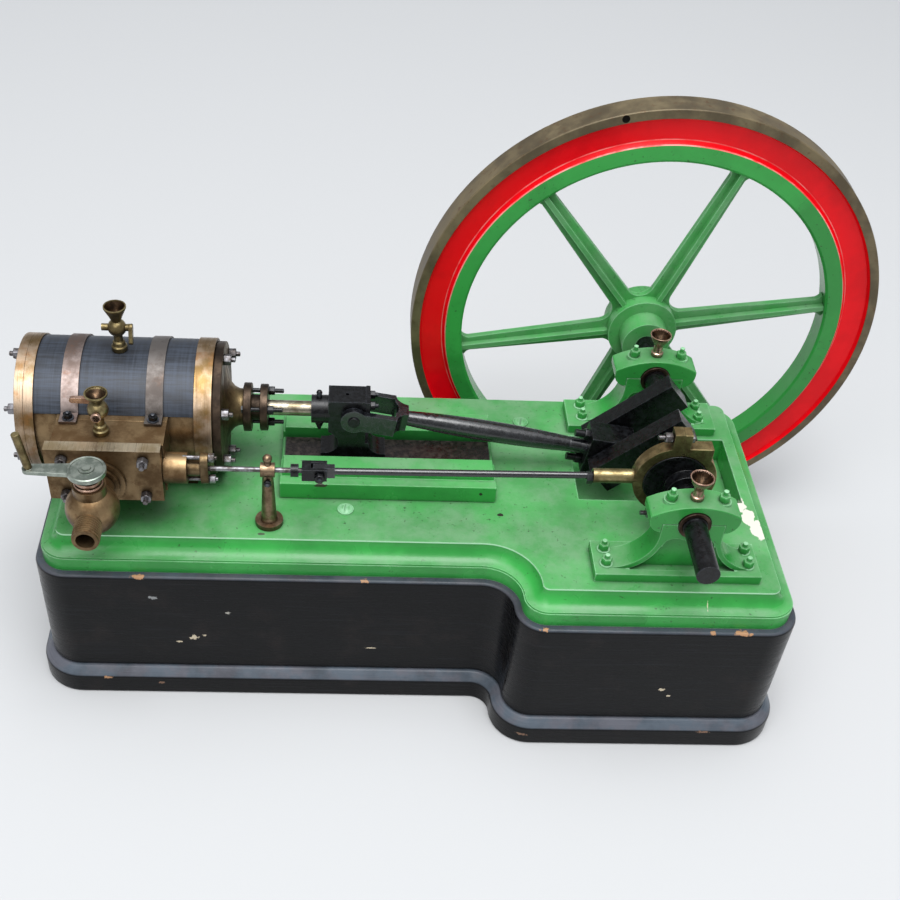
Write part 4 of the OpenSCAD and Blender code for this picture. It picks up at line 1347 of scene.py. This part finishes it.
class ENGINE_OT_bearings(bpy.types.Operator):
    """Paints the bearings, and adds the nuts on their caps and feet"""

    bl_idname = "engine.bearings"
    bl_label = "Bearings"

    def execute(self, context):
        paint = material(green_enamel)
        bush = material(gunmetal, *BUSH_BRONZE)
        flats = sizes().foot_nut / MM
        foot_t, foot_nut_y = 6, 5.8
        feet = {"near": (-42.8, 38.3), "far": (-40.3, 34.5)}
        for side, foot_xs in feet.items():
            dressed(side + "_pedestal", "frame", "green_casting", paint, edge=1.1)
            dressed(side + "_cap", "frame", "green_casting", paint, edge=0.9)
            dressed(side + "_bush", "frame", "bush_bronze", bush, edge=0.3)
            y = middle(side + "_bush").y
            top = high(side + "_cap").z
            bm = bmesh.new()
            for x in (-13.4, 15.6):
                # a seat on the cap's arched top, and the nut on it
                z = top - (CAP_ARCH_R - math.sqrt(CAP_ARCH_R**2 - x * x))
                cone(bm, (x, y + 0.8, z - 0.9), Z_AXIS, 1.3, 9.0, 8.6, sides=28)
                at = (x, y + 0.8, z + 0.4)
                nut(bm, at, Z_AXIS, flats, out=3.0, washer=False, turn=x)
            for x in foot_xs:
                for dy in (-foot_nut_y, foot_nut_y):
                    at = (x, y + 0.9 + dy, BED_Z + foot_t)
                    nut(bm, at, Z_AXIS, flats, out=2.4, turn=x + dy)
            stood(side + "_bearing_nuts", bm, "frame", [paint])
        return {"FINISHED"}


class ENGINE_OT_stage(bpy.types.Operator):
    """Sets the floor, the light and the camera"""

    bl_idname = "engine.stage"
    bl_label = "Stage"

    def execute(self, context):
        pale_floor()
        soft_light()
        camera()
        return {"FINISHED"}


# The stage, in metres

def pale_floor():
    """A plain pale floor that runs out of view, of matt paper."""
    bm = bmesh.new()
    bmesh.ops.create_grid(bm, x_segments=1, y_segments=1, size=6.0)
    mesh = bpy.data.meshes.new("floor")
    bm.to_mesh(mesh)
    bm.free()
    floor = bpy.data.objects.new("floor", mesh)
    bpy.context.scene.collection.objects.link(floor)
    floor.location = (0, 0, -0.0002)
    pale = linear("#C4C5C6")
    paper = blank(
        "pale_matt_paper", Base_Color=pale, Roughness=0.95, Specular_IOR_Level=0.1
    )
    mesh.materials.append(paper[0])


def soft_light():
    """A room that is bright overhead and dimmer at eye level, and two large soft lamps."""
    world = bpy.context.scene.world or bpy.data.worlds.new("room")
    bpy.context.scene.world = world
    world.use_nodes = True
    tree = world.node_tree
    back = tree.nodes["Background"]
    back.inputs["Color"].default_value = linear("#F1F4F8")
    way = add(tree, "TexCoord", out="Generated")
    up = add(tree, "SeparateXYZ", way, out="Z")
    eye_level, overhead, seen_plain = 0.42, 2.4, 0.86
    sky = add(tree, "MapRange", up, 0.72, 1.0, eye_level, overhead, **SMOOTH)
    seen = add(tree, "LightPath", out="Is Camera Ray")
    strength = add(tree, "Mix", seen, sky, seen_plain, data_type="FLOAT")
    tree.links.new(strength, back.inputs["Strength"])
    lamps = (
        ("key", (-0.7, -1.2, 1.9), 1.5, 17.0),
        ("top", (0.0, -0.4, 2.2), 1.1, 28.0),
    )
    aimed_at = Vector((-0.1, 0, 0.1))
    for name, place, size, power in lamps:
        data = bpy.data.lights.new(name, "AREA")
        data.size = size
        data.energy = power
        lamp = bpy.data.objects.new(name, data)
        bpy.context.scene.collection.objects.link(lamp)
        lamp.location = place
        lamp.rotation_mode = "QUATERNION"
        way = aimed_at - Vector(place)
        lamp.rotation_quaternion = way.to_track_quat("-Z", "Y")


CAMERA_PLACE = (-0.1939, -0.5872, 0.6162)
CAMERA_RIGHT = (0.9984, -0.0225, 0.0517)
CAMERA_UP = (-0.021, 0.7031, 0.7107)
SENSOR_MM = 36.0
FRAME_PX = 900
FOCAL_PX = 1255.4
CENTRE_PX = (403.8, 553.4)


def camera():
    """The photograph's view: where it was taken from, its lens and its framing."""
    data = bpy.data.cameras.new("photo_view")
    data.sensor_width = SENSOR_MM
    data.lens = SENSOR_MM * FOCAL_PX / FRAME_PX
    data.shift_x = 0.5 - CENTRE_PX[0] / FRAME_PX
    data.shift_y = CENTRE_PX[1] / FRAME_PX - 0.5
    data.clip_start = 0.02
    right = Vector(CAMERA_RIGHT).normalized()
    up = Vector(CAMERA_UP).normalized()
    back = right.cross(up).normalized()
    up = back.cross(right)
    seen = bpy.data.objects.new("photo_view", data)
    bpy.context.scene.collection.objects.link(seen)
    seen.rotation_mode = "QUATERNION"
    seen.rotation_quaternion = Matrix((right, up, back)).transposed().to_quaternion()
    seen.location = CAMERA_PLACE
    bpy.context.scene.camera = seen


OPERATORS = (
    ENGINE_OT_plinth,
    ENGINE_OT_bed,
    ENGINE_OT_cylinder,
    ENGINE_OT_chest,
    ENGINE_OT_stop_valve,
    ENGINE_OT_oil_cups,
    ENGINE_OT_crosshead,
    ENGINE_OT_connecting_rod,
    ENGINE_OT_crankshaft,
    ENGINE_OT_flywheel,
    ENGINE_OT_eccentric,
    ENGINE_OT_bearings,
    ENGINE_OT_stage,
)


class ENGINE_PT_panel(bpy.types.Panel):
    """Lists the engine's sizes, colours and pieces"""

    bl_idname = "ENGINE_PT_panel"
    bl_label = "Steam Engine"
    bl_space_type = "VIEW_3D"
    bl_region_type = "UI"
    bl_category = "Steam Engine"

    def draw(self, context):
        column = self.layout.column()
        for group in (context.scene.engine_sizes, context.scene.engine_colours):
            for name in group.__annotations__:
                column.prop(group, name)
        for operator in OPERATORS:
            column.operator(operator.bl_idname)


CLASSES = (EngineSizes, EngineColours, *OPERATORS, ENGINE_PT_panel)


def register():
    for each in CLASSES:
        bpy.utils.register_class(each)
    bpy.types.Scene.engine_sizes = bpy.props.PointerProperty(type=EngineSizes)
    bpy.types.Scene.engine_colours = bpy.props.PointerProperty(type=EngineColours)


def unregister():
    del bpy.types.Scene.engine_colours
    del bpy.types.Scene.engine_sizes
    for each in reversed(CLASSES):
        bpy.utils.unregister_class(each)


def main():
    """Builds the looks in order."""
    register()
    bpy.context.scene.view_settings.view_transform = "Standard"
    for operator in OPERATORS:
        group, name = operator.bl_idname.split(".")
        getattr(getattr(bpy.ops, group), name)()


if __name__ == "__main__":
    main()
